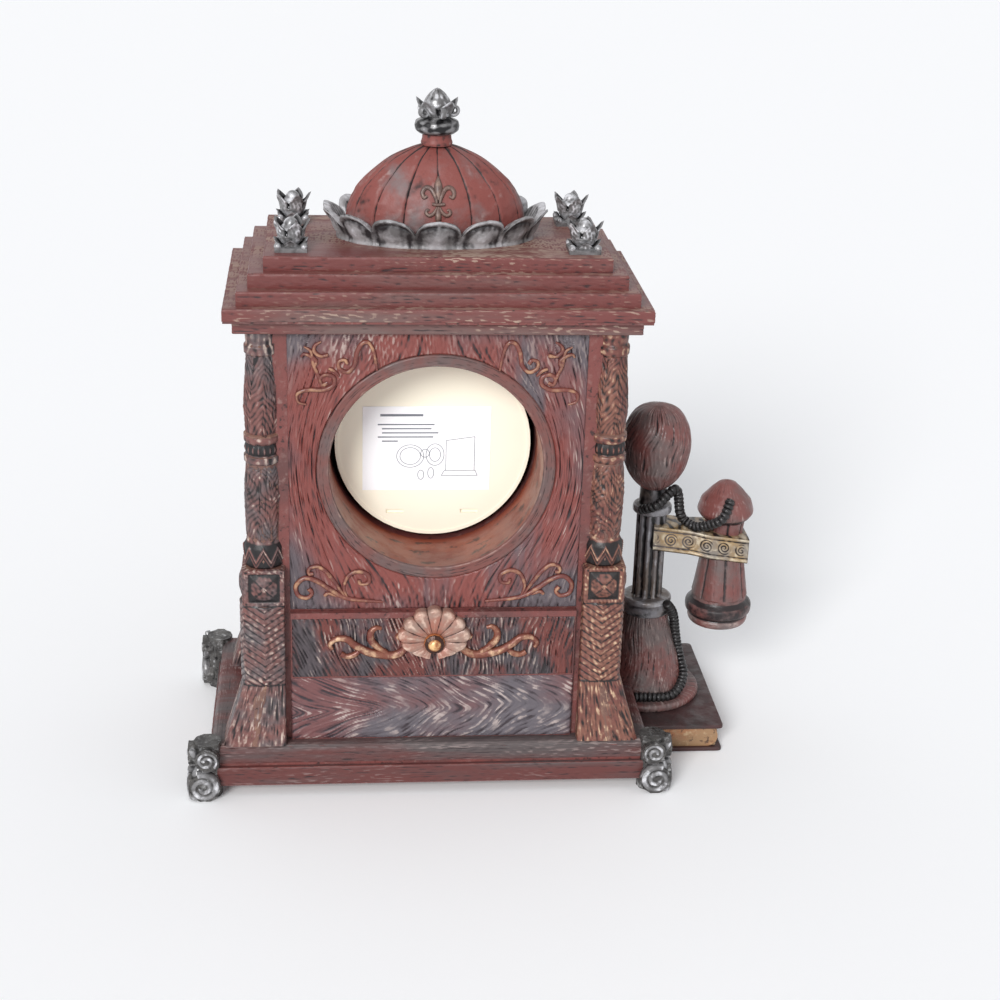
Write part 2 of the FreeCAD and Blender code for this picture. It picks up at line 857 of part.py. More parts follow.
def ribbed_cord(points):
    """Rings of two radii in turn along a smooth line, joined into one ribbed tube."""
    line = Part.BSplineCurve()
    line.interpolate([vector(*point) for point in points])
    count = 2 * max(2, round(line.length() / cord_pitch))
    rings = []
    for index in range(count + 1):
        value = line.parameterAtDistance(line.length() * index / count)
        centre = line.value(value)
        along = line.tangent(value)[0]
        side = along.cross(vector(0, 1, 0))
        if side.Length < glue_gap:
            side = along.cross(vector(1, 0, 0))
        side.normalize()
        up = side.cross(along)
        radius = cord_radius * (1 if index % 2 else cord_valley_share)
        ring = []
        for corner in range(cord_sides):
            angle = math.tau * corner / cord_sides
            ring.append(centre + side * (radius * math.cos(angle)) + up * (radius * math.sin(angle)))
        rings.append(ring)
    return skin(rings)


def round_phone(degrees, radius, z):
    """A point beside the telephone: 0 degrees is the rear and 90 the side away from the case."""
    angle = math.radians(degrees)
    return phone_x - radius * math.sin(angle), phone_y + radius * math.cos(angle), z


def build_cords():
    beside_bell = bell_radius + cord_radius
    beside_collar = collar_radius + cord_radius
    low_radius, low_rise = (
        share * size for share, size in zip(cord_low_shares, (bell_radius, bell_height))
    )
    high_radius, high_rise = (
        share * size for share, size in zip(cord_high_shares, (bell_radius, bell_height))
    )
    lower = [
        round_phone(cord_start_angle, beside_bell, bell_base + cord_radius),
        round_phone(cord_lift_angle, beside_bell, bell_base + cord_radius),
        round_phone(cord_climb_angle, bell_radius, bell_base + 3 * cord_radius),
        round_phone(cord_side_angle, low_radius, bell_base + low_rise),
        round_phone(cord_side_angle, high_radius, bell_base + high_rise),
        round_phone(cord_climb_angle, beside_collar, collar_base),
        round_phone(cord_collar_angle, beside_collar, collar_base + collar_height),
    ]
    solids = [
        "base_plinth", "telephone_base", "telephone_stem", "transmitter_shell", "receiver_arm", "receiver",
    ]
    cord = ribbed_cord(lower)
    for name in solids:
        cord = cord.cut(pieces[name])
    write("lower_cord", cord)
    arm_top = book_height + arm_rise + arm_height
    rest = arm_top - arm_drop / 2 + cord_radius
    cap_side = cap_shares[0] * receiver_radius + cord_radius / 2
    cap_top = cap_top_shares[0] * receiver_radius + cord_radius / 2
    upper = [
        round_phone(neck_start_angle, neck_radius + cord_radius, stem_top + cord_radius),
        round_phone(0, neck_radius + 2 * cord_radius, stem_top + 3 * cord_radius),
        round_phone(cord_climb_angle, neck_radius + 2 * cord_radius, neck_top),
        round_phone(cord_side_angle, neck_radius + 3 * cord_radius, arm_top + 2 * cord_radius),
        (phone_x - 4 * cord_radius - neck_radius, phone_y + cord_radius, rest + cord_radius / 2),
        (receiver_x + cap_side, receiver_y + cap_side / 2, rest),
        (receiver_x + cap_side / 3, receiver_y + cap_side, receiver_lift + cap_shares[1] * receiver_height),
        (receiver_x, receiver_y + cap_top, receiver_lift + cap_top_shares[1] * receiver_height),
    ]
    cord = ribbed_cord(upper)
    for name in solids:
        cord = cord.cut(pieces[name])
    write("upper_cord", cord)


def gear(teeth, distance, mate, y0, thick, hole, place=(0, 0), toward=0, gap_first=False):
    """A wheel with pointed teeth that mesh with a mate of the given teeth at the given distance of arbors.

    A tooth, or a gap where gap_first is set, faces the given direction.
    """
    module = 2 * distance / (teeth + mate)
    pitch_radius = module * teeth / 2
    tip = pitch_radius + addendum_share * module
    root = pitch_radius - dedendum_share * module
    step = full_turn / teeth
    shift = step / 2 if gap_first else 0
    points = []
    for index in range(teeth):
        centre = toward + shift + index * step
        for radius, angle in ((root, centre - step / 2), (tip, centre)):
            x, z = polar(radius, angle)
            points.append((place[0] + x, bore_height + place[1] + z))
    wheel = across(points, y0, thick)
    if hole:
        wheel = wheel.cut(rod(hole, y0 - overrun, y0 + thick + overrun, place[0], bore_height + place[1]))
    return wheel


def arbor(radius, y0, y1, place=(0, 0)):
    return rod(radius, y0, y1, place[0], bore_height + place[1])


def sleeve(outer, inner, y0, y1):
    return arbor(outer, y0, y1).cut(arbor(inner, y0 - overrun, y1 + overrun))


def build_train():
    """Wheels and pinions. A pinion takes a gap where its wheel takes a tooth."""
    third_place = polar(going_distance, third_direction)
    reduction_place = polar(reduction_distance, reduction_direction)
    rotor_step = polar(rotor_distance, rotor_direction)
    rotor_place = (reduction_place[0] + rotor_step[0], reduction_place[1] + rotor_step[1])
    motion_place = polar(motion_distance, motion_direction)
    rear = lid_face + lid_thick
    pivot = movement_face + tray_front_wall - pivot_depth

    def level(value):
        return movement_face + value

    def pinion(teeth, distance, mate, value, hole, place, toward):
        return gear(
            teeth, distance, mate, level(value) - pinion_overhang, wheel_thick + 2 * pinion_overhang,
            hole, place, toward, True,
        )

    write("hour_wheel", fuse([
        gear(hour_teeth, motion_distance, motion_pinion_teeth, level(hour_wheel_level), wheel_thick,
             hour_bore, (0, 0), motion_direction),
        sleeve(hour_tube, hour_bore, hour_hand_back - hand_thick, level(hour_wheel_level) + wheel_thick),
    ]))
    write("cannon_pinion", fuse([
        pinion(cannon_teeth, motion_distance, motion_teeth, motion_level, cannon_bore, (0, 0),
               motion_direction),
        sleeve(cannon_tube, cannon_bore, minute_hand_back - hand_thick, level(motion_level) + wheel_thick),
    ]))
    write("centre_wheel", fuse([
        gear(centre_teeth, going_distance, third_pinion_teeth, level(centre_level), wheel_thick,
             centre_bore, (0, 0), third_direction),
        sleeve(centre_tube, centre_bore, level(hour_wheel_level), level(centre_level) + wheel_thick),
    ]))
    back = third_direction + half_turn
    write("third_wheel", fuse([
        gear(third_teeth, going_distance, second_pinion_teeth, level(third_level), wheel_thick, 0,
             third_place, back),
        pinion(third_pinion_teeth, going_distance, centre_teeth, centre_level, 0, third_place, back),
        arbor(pivot_radius, pivot, rear, third_place),
    ]))
    write("second_wheel", fuse([
        arbor(second_arbor_radius, second_hand_back - hand_thick, rear),
        pinion(second_pinion_teeth, going_distance, third_teeth, third_level, 0, (0, 0), third_direction),
        gear(second_teeth, reduction_distance, reduction_pinion_teeth, level(second_level), wheel_thick, 0,
             (0, 0), reduction_direction),
    ]))
    back = reduction_direction + half_turn
    write("reduction_wheel", fuse([
        arbor(pivot_radius, pivot, rear, reduction_place),
        pinion(reduction_pinion_teeth, reduction_distance, second_teeth, second_level, 0,
               reduction_place, back),
        gear(reduction_teeth, rotor_distance, rotor_pinion_teeth, level(reduction_level), wheel_thick / 2, 0,
             reduction_place, rotor_direction),
    ]))
    write("rotor", fuse([
        arbor(pivot_radius, pivot, rear, rotor_place),
        arbor(rotor_radius, level(rotor_level), level(rotor_level + rotor_length), rotor_place),
        gear(rotor_pinion_teeth, rotor_distance, reduction_teeth, level(reduction_level) - pinion_overhang,
             wheel_thick / 2 + 2 * pinion_overhang, 0, rotor_place, rotor_direction + half_turn, True),
    ]))
    back = motion_direction + half_turn
    write("motion_wheel", fuse([
        gear(motion_teeth, motion_distance, cannon_teeth, level(motion_level), wheel_thick, 0,
             motion_place, back),
        pinion(motion_pinion_teeth, motion_distance, hour_teeth, hour_wheel_level, 0, motion_place, back),
        arbor(knob_shaft_radius, pivot, rear + knob_reach, motion_place),
    ]))
    knob_x = motion_place[0]
    knob_z = bore_height + motion_place[1]
    radii = (knob_radius_rear, knob_radius_rear - knob_ridge)
    ridges = [
        (point.x + knob_x, point.y + knob_z) for point in ring_points(2 * knob_ridges, radii, 0)
    ]
    start = rear + knob_reach - knob_thick
    knob = across(ridges, start, knob_thick + knob_ridge)
    hub = arbor(knob_shaft_radius + glue_gap, start - overrun, rear + knob_reach, motion_place)
    write("setting_knob", knob.cut(hub))
    return third_place, reduction_place, rotor_place, motion_place


def housing_plate(inset, y0, depth):
    """A plate with its corners cut off, round the dial's axis, the inset inside the tray's outline."""
    half_x = tray_width / 2 - inset
    half_z = tray_height / 2 - inset
    corner = tray_corner - inset * (2 - math.sqrt(2))
    outline = []
    for side_x, side_z in ((1, 1), (-1, 1), (-1, -1), (1, -1)):
        ends = [(side_x * half_x, side_z * (half_z - corner)), (side_x * (half_x - corner), side_z * half_z)]
        outline += ends if side_x == side_z else ends[::-1]
    return across([(x, bore_height + z) for x, z in outline], y0, depth)


def build_housing(places):
    third_place, reduction_place, rotor_place, motion_place = places
    half_x = tray_width / 2
    half_z = tray_height / 2
    outer = housing_plate(0, movement_face, bay_depth)
    inner = housing_plate(tray_wall, movement_face + tray_front_wall, bay_depth)
    cell_z = bore_height - half_z + tray_wall + cell_play + cell_radius
    divider_top = cell_z + cell_radius + cell_play + bay_wall
    divider = block(
        -half_x + tray_wall / 2, half_x - tray_wall / 2,
        movement_face + tray_wall / 2, movement_face + bay_depth, divider_top - bay_wall, divider_top,
    )
    step = block(
        -half_x - overrun, half_x + overrun, movement_face + tray_depth, movement_face + bay_depth + overrun,
        divider_top, bore_height + half_z + overrun,
    )
    nose = arbor(boss_radius, boss_end, movement_face + tray_wall / 2)
    hole = arbor(boss_bore, boss_end - overrun, movement_face + tray_front_wall + overrun)
    tray = outer.cut(inner).fuse(divider).fuse(nose).cut(step).cut(hole).removeSplitter()
    pivot = movement_face + tray_front_wall - pivot_depth
    carried = (
        (third_place, pivot_radius), (reduction_place, pivot_radius), (rotor_place, pivot_radius),
        (motion_place, knob_shaft_radius),
    )
    for place, radius in carried:
        tray = tray.cut(arbor(radius + run_play, pivot - run_play, pivot + pivot_depth + overrun, place))
    write("movement_tray", tray)

    lid_room = block(
        -half_x - overrun, half_x + overrun, lid_face - overrun, lid_face + lid_thick + overrun,
        divider_top + cell_play, bore_height + half_z + overrun,
    )
    lid = housing_plate(tray_wall + seat_gap, lid_face, lid_thick).common(lid_room)
    for place, radius in carried + (((0, 0), second_arbor_radius),):
        lid = lid.cut(arbor(radius + run_play, lid_face - overrun, lid_face + lid_thick + overrun, place))
    write("movement_lid", lid)

    build_electrics(cell_z, rotor_place)


def build_electrics(cell_z, rotor_place):
    cell_y = movement_face + tray_front_wall + cell_play + cell_radius
    half = cell_length / 2
    end = half + cell_cap_length
    cell = cast(
        [(cell_radius, -half), (cell_radius, half), (cell_cap_radius, half), (cell_cap_radius, end)],
        cell_sides,
    )
    cell.rotate(vector(0, 0, 0), vector(0, 1, 0), quarter_turn)
    cell.translate(vector(0, cell_y, cell_z))
    write("battery", cell)
    plates = []
    wall = tray_width / 2 - tray_wall
    for low, high in ((-wall, -half), (end, wall)):
        plates.append(block(
            low, high, cell_y - contact_width / 2, cell_y + contact_width / 2,
            cell_z - contact_width / 2, cell_z + contact_width / 2,
        ))
    write("battery_contacts", Part.makeCompound(plates))

    board_y = movement_face + tray_front_wall
    card = block(
        board_out - board_width / 2, board_out + board_width / 2, board_y, board_y + board_thick,
        bore_height + board_rise - board_height / 2, bore_height + board_rise + board_height / 2,
    )
    chip = block(
        board_out - chip_half, board_out + chip_half,
        board_y + board_thick, board_y + board_thick + chip_thick,
        bore_height + board_rise - chip_half, bore_height + board_rise + chip_half,
    )
    write("circuit_board", card.fuse(chip).removeSplitter())

    plate_y = movement_face + stator_level
    ring = rotor_radius + stator_play + stator_rim
    left = stator_side_gap + tray_wall - tray_width / 2
    right = rotor_place[0] + ring
    top = bore_height + stator_top
    bottom = bore_height + rotor_place[1]
    plate = block(left, right, plate_y, plate_y + stator_thick, bottom, top)
    plate = plate.fuse(arbor(ring, plate_y, plate_y + stator_thick, rotor_place))
    window = block(
        left + stator_leg, right - stator_leg, plate_y - overrun, plate_y + 2 * overrun,
        bore_height + coil_rise - coil_radius - stator_play, top + overrun,
    )
    hole = arbor(rotor_radius + stator_play, plate_y - overrun, plate_y + 2 * overrun, rotor_place)
    write("stator", plate.cut(window).cut(hole).removeSplitter())
    coil = cast([(coil_radius, left + stator_leg), (coil_radius, right - stator_leg)], coil_sides)
    coil.rotate(vector(0, 0, 0), vector(0, 1, 0), quarter_turn)
    coil.translate(vector(0, plate_y + stator_thick / 2, bore_height + coil_rise))
    write("coil", coil)


def hand(length, width, degrees, back, hub_bore):
    """A spade hand with its hub, pointing clockwise from twelve."""
    hub = hub_bore + hand_hub_wall
    blade = [(a * width / 2, b * length) for a, b in hand_shares]
    blade += [(-x, z) for x, z in reversed(blade[:-1])]
    eye = cast_rear([(hub, back - hand_thick), (hub, back)], hub_sides)
    shape = across(blade, back - hand_thick, hand_thick).fuse(eye)
    shape = shape.cut(rod(hub_bore + glue_gap, back - hand_thick - overrun, back + overrun)).removeSplitter()
    shape.rotate(vector(0, 0, 0), vector(0, 1, 0), degrees)
    shape.translate(vector(0, 0, bore_height))
    return shape


def build_hands():
    write("hour_hand", hand(hour_hand_length, hour_hand_width, hour_hand_angle, hour_hand_back, hour_tube))
    write("minute_hand", hand(
        minute_hand_length, minute_hand_width, minute_hand_angle, minute_hand_back, cannon_tube,
    ))
    back = second_hand_back
    half = second_hand_width / 2
    needle = block(-half, half, back - hand_thick, back, -second_hand_tail, second_hand_length)
    hub = hand_hub_wall + second_arbor_radius
    needle = needle.fuse(cast_rear([(hub, back - hand_thick), (hub, back)], hub_sides))
    needle = needle.cut(rod(second_arbor_radius + glue_gap, back - hand_thick - overrun, back + overrun))
    needle.translate(vector(0, 0, bore_height))
    write("second_hand", needle.removeSplitter())


def build_insert():
    front = drum_mouth - lens_thick
    seat = drum_radius + glue_gap
    write("bezel", hoop([
        (seat, case_face), (bezel_radius, case_face), (bezel_radius, drum_mouth),
        (bezel_opening, case_face - bezel_depth), (bezel_opening, front), (seat, front),
    ]))
    write("lens", cast_rear([(drum_radius, front), (drum_radius, drum_mouth)], insert_sides, 0, bore_height))
    inside = drum_radius - drum_wall
    write("drum", straight_hoop(drum_radius, inside, drum_mouth, drum_end))
    start = case_face + ring_start
    write("rubber_ring", straight_hoop(bore_radius - ring_play, seat, start, start + ring_length))
    dial_hole = arbor(boss_radius + glue_gap, dial_face - overrun, movement_face + overrun)
    dial = cast_rear(
        [(inside - dial_play, dial_face), (inside - dial_play, movement_face)], insert_sides, 0, bore_height,
    )
    write("dial", dial.cut(dial_hole))
    nut_points = [(point.x, point.y + bore_height) for point in ring_points(6, (nut_width / 2,), 0)]
    nut = across(nut_points, dial_face - nut_thick, nut_thick)
    nut_hole = arbor(boss_radius + glue_gap, dial_face - nut_thick - overrun, dial_face + overrun)
    write("dial_nut", nut.cut(nut_hole))

    spigot = inside - cover_play
    cover = cast_rear(
        [
            (spigot, drum_end - cover_spigot), (spigot, drum_end),
            (drum_radius, drum_end), (drum_radius, cover_face),
        ],
        insert_sides, 0, bore_height,
    )
    for x in (-latch_out, latch_out):
        cover = cover.cut(block(
            x - latch_width / 2, x + latch_width / 2, cover_face - cover_thick / 2, cover_face + overrun,
            bore_height - latch_drop - latch_height / 2, bore_height - latch_drop + latch_height / 2,
        ))
    write("rear_cover", cover)
    write("battery_label", block(
        label_out - label_width / 2, label_out + label_width / 2, cover_face, cover_face + label_thick,
        bore_height - label_drop - label_height / 2, bore_height - label_drop + label_height / 2,
    ))


def build_columns():
    column = build_column()
    for end, shape in (("rear", column), ("front", mirrored_to_front(column))):
        write("column_" + end + "_right", shape)
        write("column_" + end + "_left", shape.mirror(vector(0, 0, 0), vector(1, 0, 0)))


def save_all():
    """Move the origin under the middle of the whole object and save every piece."""
    bounds = Part.makeCompound(list(pieces.values())).optimalBoundingBox()
    shift = vector(
        -(bounds.XMin + bounds.XMax) / 2, -(bounds.YMin + bounds.YMax) / 2, -bounds.ZMin,
    )
    print("case middle at", round(shift.x, 4), round(shift.y, 4), round(shift.z, 4))
    print("size", round(bounds.XLength, 3), round(bounds.YLength, 3), round(bounds.ZLength, 3))
    os.makedirs("parts", exist_ok=True)
    for name, shape in pieces.items():
        shape.translate(shift)
        shape.exportStep("parts/" + name + ".step")
    print(len(pieces), "pieces")


pieces = {}
write("base_plinth", build_plinth())
write("case_shell", build_case())
build_columns()
build_feet()
build_roof()
write("dome", build_dome())
write("petal_gallery", build_gallery())
write("dome_finial", cast(
    scaled(finial_shares, finial_radius, finial_height), finial_sides, 0, 0, roof_top + dome_height,
))
write("lotus_finials", Part.makeCompound([
    build_lotus(x, y) for x in (-lotus_out, lotus_out) for y in (-lotus_back, lotus_back)
]))
build_wall_trim()
build_book()
build_telephone()
build_cords()
build_insert()
build_housing(build_train())
build_hands()
save_all()
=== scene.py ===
import math
import bmesh
import bpy
import numpy as np
from mathutils import Matrix, Vector


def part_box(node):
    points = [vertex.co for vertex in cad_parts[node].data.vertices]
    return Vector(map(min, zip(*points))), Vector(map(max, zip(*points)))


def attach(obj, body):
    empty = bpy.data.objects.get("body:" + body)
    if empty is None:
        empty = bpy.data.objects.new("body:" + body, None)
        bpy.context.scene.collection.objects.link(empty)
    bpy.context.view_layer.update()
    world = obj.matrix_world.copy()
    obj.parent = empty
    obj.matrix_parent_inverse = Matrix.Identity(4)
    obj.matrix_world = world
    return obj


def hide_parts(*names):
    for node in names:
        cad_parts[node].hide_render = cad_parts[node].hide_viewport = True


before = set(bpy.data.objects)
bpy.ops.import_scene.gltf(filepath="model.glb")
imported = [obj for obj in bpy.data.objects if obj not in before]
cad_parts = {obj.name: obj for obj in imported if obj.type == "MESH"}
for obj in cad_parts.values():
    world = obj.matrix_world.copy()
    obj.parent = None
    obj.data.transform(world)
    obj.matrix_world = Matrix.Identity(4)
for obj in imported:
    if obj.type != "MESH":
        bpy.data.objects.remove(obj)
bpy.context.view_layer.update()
mm = 0.001
turn = 2 * math.pi
quarterTurn = math.pi / 2
holeRise = 139.15  # the height of the round hole's axis

caseLow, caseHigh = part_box("case_shell")
midX = (caseLow[0] + caseHigh[0]) / 2
midY = (caseLow[1] + caseHigh[1]) / 2
middleAt = np.array([midX, midY, 0]) / mm
print("stage: frame loaded")


def wallPlace(u, out, w, quarter=0):
    # a wall point in millimetres: u along the wall, out from the middle, w up; quarter 0 is the rear wall
    x, y = -u, out
    for _ in range(quarter):
        x, y = -y, x
    return np.stack([midX + x * mm, midY + y * mm, w * mm + 0 * x], axis=-1)


def ripple(x, y, size, seed, waves=12):
    # smooth random relief: the sum of cosine waves of random direction and phase, about one size long
    rng = np.random.default_rng(seed)
    heading = rng.uniform(0, turn, waves)
    phase = rng.uniform(0, turn, waves)
    pace = turn / size * rng.uniform(0.6, 1.5, waves)
    total = 0 * (x + y)
    for a, p, k in zip(heading, phase, pace):
        total = total + np.cos(k * (x * np.cos(a) + y * np.sin(a)) + p)
    return total / math.sqrt(waves / 2)


def unit(value):
    # a value held between 0 and 1
    return np.clip(value, 0, 1)


def soft(value, start, end):
    # a smooth step from 0 at start to 1 at end
    t = unit((value - start) / (end - start))
    return t * t * (3 - 2 * t)


def window(value, start, full, fading, end):
    # smoothly up to 1 between start and full, and down to 0 again between fading and end
    return soft(value, start, full) * (1 - soft(value, fading, end))


def zigzag(value):
    # 1 at whole numbers, straight down to 0 halfway between them, and up again
    return np.abs(np.modf(value)[0] - 0.5) * 2


def hill(value, width):
    # 1 where value is 0, and down to nothing some widths away
    return np.exp(-(value / width) ** 2)


def aroundAngles(count, start=0.0):
    # even angles of a closed ring, as one row
    return (np.arange(count) * turn / count + start)[None, :]


def lanes(along, across, pitch, seed, length, width):
    # dark lines one pitch apart that start and stop at random; each strays a little from its even place
    lane = across / pitch
    border = np.round(lane)
    chance = np.modf(np.abs(np.sin(border * 127.1 + seed * 3.7) * 43758.5))[0]
    offset = np.abs(lane - border - 0.5 * (chance - 0.5))
    life = np.sin(along * turn / (length * (0.9 + 1.2 * chance)) + chance * 40)
    return hill(offset, width) * soft(life, -0.65, 0.15) * (0.45 + 0.55 * chance)


def woodGrain(along, across, pitch, seed, wander=0.5, length=30, fine=0.4, strokes=0.15):
    # carved grain: thin deep cuts, finer and shorter ones between them, and soft brush strokes, all swaying
    # together
    sway = across + wander * pitch * ripple(along / (2.8 * length), across / (24 * pitch), 1.0, seed, 7)
    deep = lanes(along, sway, pitch, seed, length, 0.1)
    thin = lanes(along + 7, sway, pitch * 0.4, seed + 1, length * 0.4, 0.2)
    stroke = ripple(along / 9, sway, pitch * 0.45, seed + 9)
    return unit(0.77 - 0.66 * deep - 0.62 * fine * thin + strokes * stroke)


def gridFaces(rows, columns, wrapRows=False, wrapColumns=False):
    # one quad for each cell of a grid of points, joined round where it wraps
    r = np.arange(rows if wrapRows else rows - 1)
    c = np.arange(columns if wrapColumns else columns - 1)
    r, c = np.meshgrid(r, c, indexing="ij")
    nextR = (r + 1) % rows
    nextC = (c + 1) % columns
    quads = np.stack([r * columns + c, nextR * columns + c, nextR * columns + nextC, r * columns + nextC], axis=-1)
    return quads.reshape(-1, 4)


def sheetMesh(points, relief, wrapRows=False, wrapColumns=False, flip=False):
    # a grid of points as vertices, quads and the relief value of each vertex
    rows, columns = points.shape[:2]
    quads = gridFaces(rows, columns, wrapRows, wrapColumns)
    if flip:
        quads = quads[:, ::-1]
    return points.reshape(-1, 3), quads, np.broadcast_to(relief, (rows, columns)).reshape(-1)


def joined(sheets):
    # several grids as one mesh
    vertices, quads, relief, start = [], [], [], 0
    for points, faces, values in sheets:
        vertices.append(points)
        quads.append(faces + start)
        relief.append(values)
        start += len(points)
    return np.concatenate(vertices), np.concatenate(quads), np.concatenate(relief)


def placeInScene(thing):
    bpy.context.scene.collection.objects.link(thing)


def makePiece(name, sheets, material, body="case", hides=(), closed=False, crease=42):
    # the grids as one smooth mesh with a relief attribute, on its body, in place of the CAD nodes that it hides
    vertices, quads, relief = joined(sheets)
    mesh = bpy.data.meshes.new(name)
    mesh.from_pydata(vertices.tolist(), [], quads.tolist())
    layer = mesh.attributes.new("relief", "FLOAT", "POINT")
    layer.data.foreach_set("value", relief.astype(np.float32))
    work = bmesh.new()
    work.from_mesh(mesh)
    bmesh.ops.remove_doubles(work, verts=work.verts, dist=2e-6)
    bmesh.ops.dissolve_degenerate(work, edges=work.edges, dist=1e-7)
    if closed:
        bmesh.ops.recalc_face_normals(work, faces=work.faces)
    work.to_mesh(mesh)
    work.free()
    mesh.polygons.foreach_set("use_smooth", np.ones(len(mesh.polygons), dtype=bool))
    mesh.set_sharp_from_angle(angle=math.radians(crease))
    mesh.materials.append(material)
    piece = bpy.data.objects.new(name, mesh)
    placeInScene(piece)
    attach(piece, body)
    if hides:
        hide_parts(*hides)


def fineProfile(profile, step):
    # a profile's points spaced out evenly, one step apart
    profile = np.array(profile, dtype=float)
    run = np.concatenate([[0], np.cumsum(np.linalg.norm(np.diff(profile, axis=0), axis=1))])
    at = np.linspace(0, run[-1], max(2, int(run[-1] / step) + 1))
    return np.stack([np.interp(at, run, profile[:, k]) for k in range(profile.shape[1])], axis=-1)


def roundedProfile(profile, step, passes=2):
    # the same with its corners rounded by averaging neighbours
    fine = fineProfile(profile, step)
    for _ in range(passes):
        fine[1:-1] = (fine[:-2] + 2 * fine[1:-1] + fine[2:]) / 4
    return fine


def smoothPath(points, step=0.25):
    # a smooth curve through the points: a cubic between each two, with the slope of their neighbours
    points = np.array(points, dtype=float)
    ends = np.concatenate([[2 * points[0] - points[1]], points, [2 * points[-1] - points[-2]]])
    count = 14
    t = (np.arange(count) / count)[:, None]
    parts = []
    for before, a, b, after in zip(ends, ends[1:], ends[2:], ends[3:]):
        parts.append(0.5 * (2 * a + (b - before) * t + (2 * before - 5 * a + 4 * b - after) * t ** 2
                            + (3 * a - before - 3 * b + after) * t ** 3))
    parts.append(points[-1:])
    return fineProfile(np.concatenate(parts), step)


def tubeAlong(path, radius, sides=10, across=(0, 1, 0), flat=1.0, relief=0.8):
    # a ring of points carried along a path; the ring is squashed by flat along the across direction
    path = np.array(path, dtype=float)
    radius = np.broadcast_to(np.array(radius, dtype=float), (len(path),))
    tangent = np.gradient(path, axis=0)
    tangent /= np.linalg.norm(tangent, axis=1, keepdims=True)
    sideways = np.cross(tangent, np.array(across, dtype=float))
    sideways /= np.maximum(np.linalg.norm(sideways, axis=1, keepdims=True), 1e-9)
    up = np.cross(sideways, tangent)
    angle = np.arange(sides) * turn / sides
    ring = (sideways[:, None, :] * np.cos(angle)[None, :, None]
            + up[:, None, :] * flat * np.sin(angle)[None, :, None])
    points = path[:, None, :] + ring * radius[:, None, None]
    shade = np.array(relief, dtype=float).reshape(-1, 1) * (0.5 + 0.5 * np.abs(np.sin(angle)))[None, :]
    shade = shade + 0 * radius[:, None]
    vertices, quads, values = sheetMesh(points * mm, shade, wrapColumns=True)
    caps = np.array([path[0], path[-1]]) * mm
    first = len(vertices)
    ringStart = np.arange(sides)
    ringEnd = ringStart + (len(path) - 1) * sides
    startCap = np.stack([ringStart, np.roll(ringStart, -1), np.full(sides, first), np.full(sides, first)], axis=-1)
    endCap = np.stack([np.roll(ringEnd, -1), ringEnd, np.full(sides, first + 1), np.full(sides, first + 1)],
                      axis=-1)
    vertices = np.concatenate([vertices, caps])
    values = np.concatenate([values, [shade[0, 0], shade[-1, 0]]])
    return vertices, np.concatenate([quads, startCap, endCap]), values


def tapered(count, start, middle, end):
    # a radius that swells from start to middle and goes down to end
    t = np.linspace(0, 1, count)
    return np.where(t < 0.5, start + (middle - start) * np.sin(t * math.pi),
                    end + (middle - end) * np.sin(t * math.pi))


def paint(code):
    # a screen colour such as "7a3e38" as Blender's linear one
    levels = (int(code[k:k + 2], 16) for k in (0, 2, 4))
    return tuple(((c / 255 + 0.055) / 1.055) ** 2.4 if c > 10 else c / 3294.6 for c in levels) + (1.0,)


def feed(tree, source, node, name):
    # a link into one of a node's inputs
    tree.links.new(source, node.inputs[name])


def addNode(tree, kind, **settings):
    # a shader node whose inputs, or else its own settings, are set by name
    node = tree.nodes.new(kind)
    for key, value in settings.items():
        if key in node.inputs:
            node.inputs[key].default_value = value
        else:
            setattr(node, key, value)
    return node


def blended(tree, first, second, factor):
    # a colour mixed from two colours or sockets by a socket
    mix = tree.nodes.new("ShaderNodeMix")
    mix.data_type = "RGBA"
    for index, value in ((6, first), (7, second)):
        if isinstance(value, tuple):
            mix.inputs[index].default_value = value
        else:
            feed(tree, value, mix, index)
    feed(tree, factor, mix, 0)
    return mix.outputs[2]


def ranged(tree, socket, fromLow, fromHigh, toLow=0.0, toHigh=1.0):
    # a socket's value carried from one range to another by a smooth step
    node = tree.nodes.new("ShaderNodeMapRange")
    node.interpolation_type = "SMOOTHSTEP"
    for index, value in enumerate((fromLow, fromHigh, toLow, toHigh), 1):
        node.inputs[index].default_value = value
    feed(tree, socket, node, 0)
    return node.outputs[0]


def combined(tree, first, second, operation="MULTIPLY"):
    # one sum of a socket with a number or another socket
    node = tree.nodes.new("ShaderNodeMath")
    node.operation = operation
    feed(tree, first, node, 0)
    if isinstance(second, (int, float)):
        node.inputs[1].default_value = second
    else:
        feed(tree, second, node, 1)
    return node.outputs[0]


def noiseOn(tree, scale, detail=3.0, stretch=(1, 1, 1), rough=0.55):
    # a noise that stays fixed to the piece, drawn out along an axis where its stretch is small
    coords = tree.nodes.new("ShaderNodeTexCoord")
    mapping = tree.nodes.new("ShaderNodeMapping")
    mapping.inputs["Scale"].default_value = stretch
    feed(tree, coords.outputs["Object"], mapping, "Vector")
    noise = addNode(tree, "ShaderNodeTexNoise", Scale=scale, Detail=detail, Roughness=rough)
    feed(tree, mapping.outputs["Vector"], noise, "Vector")
    return noise.outputs["Fac"]


def newMaterial(name, code, roughness, metallic=0.0):
    # a material with its base colour and gloss, its tree and its shader
    material = bpy.data.materials.new(name)
    material.use_nodes = True
    tree = material.node_tree
    shader = tree.nodes["Principled BSDF"]
    shader.inputs["Base Color"].default_value = paint(code)
    shader.inputs["Roughness"].default_value = roughness
    shader.inputs["Metallic"].default_value = metallic
    return material, tree, shader


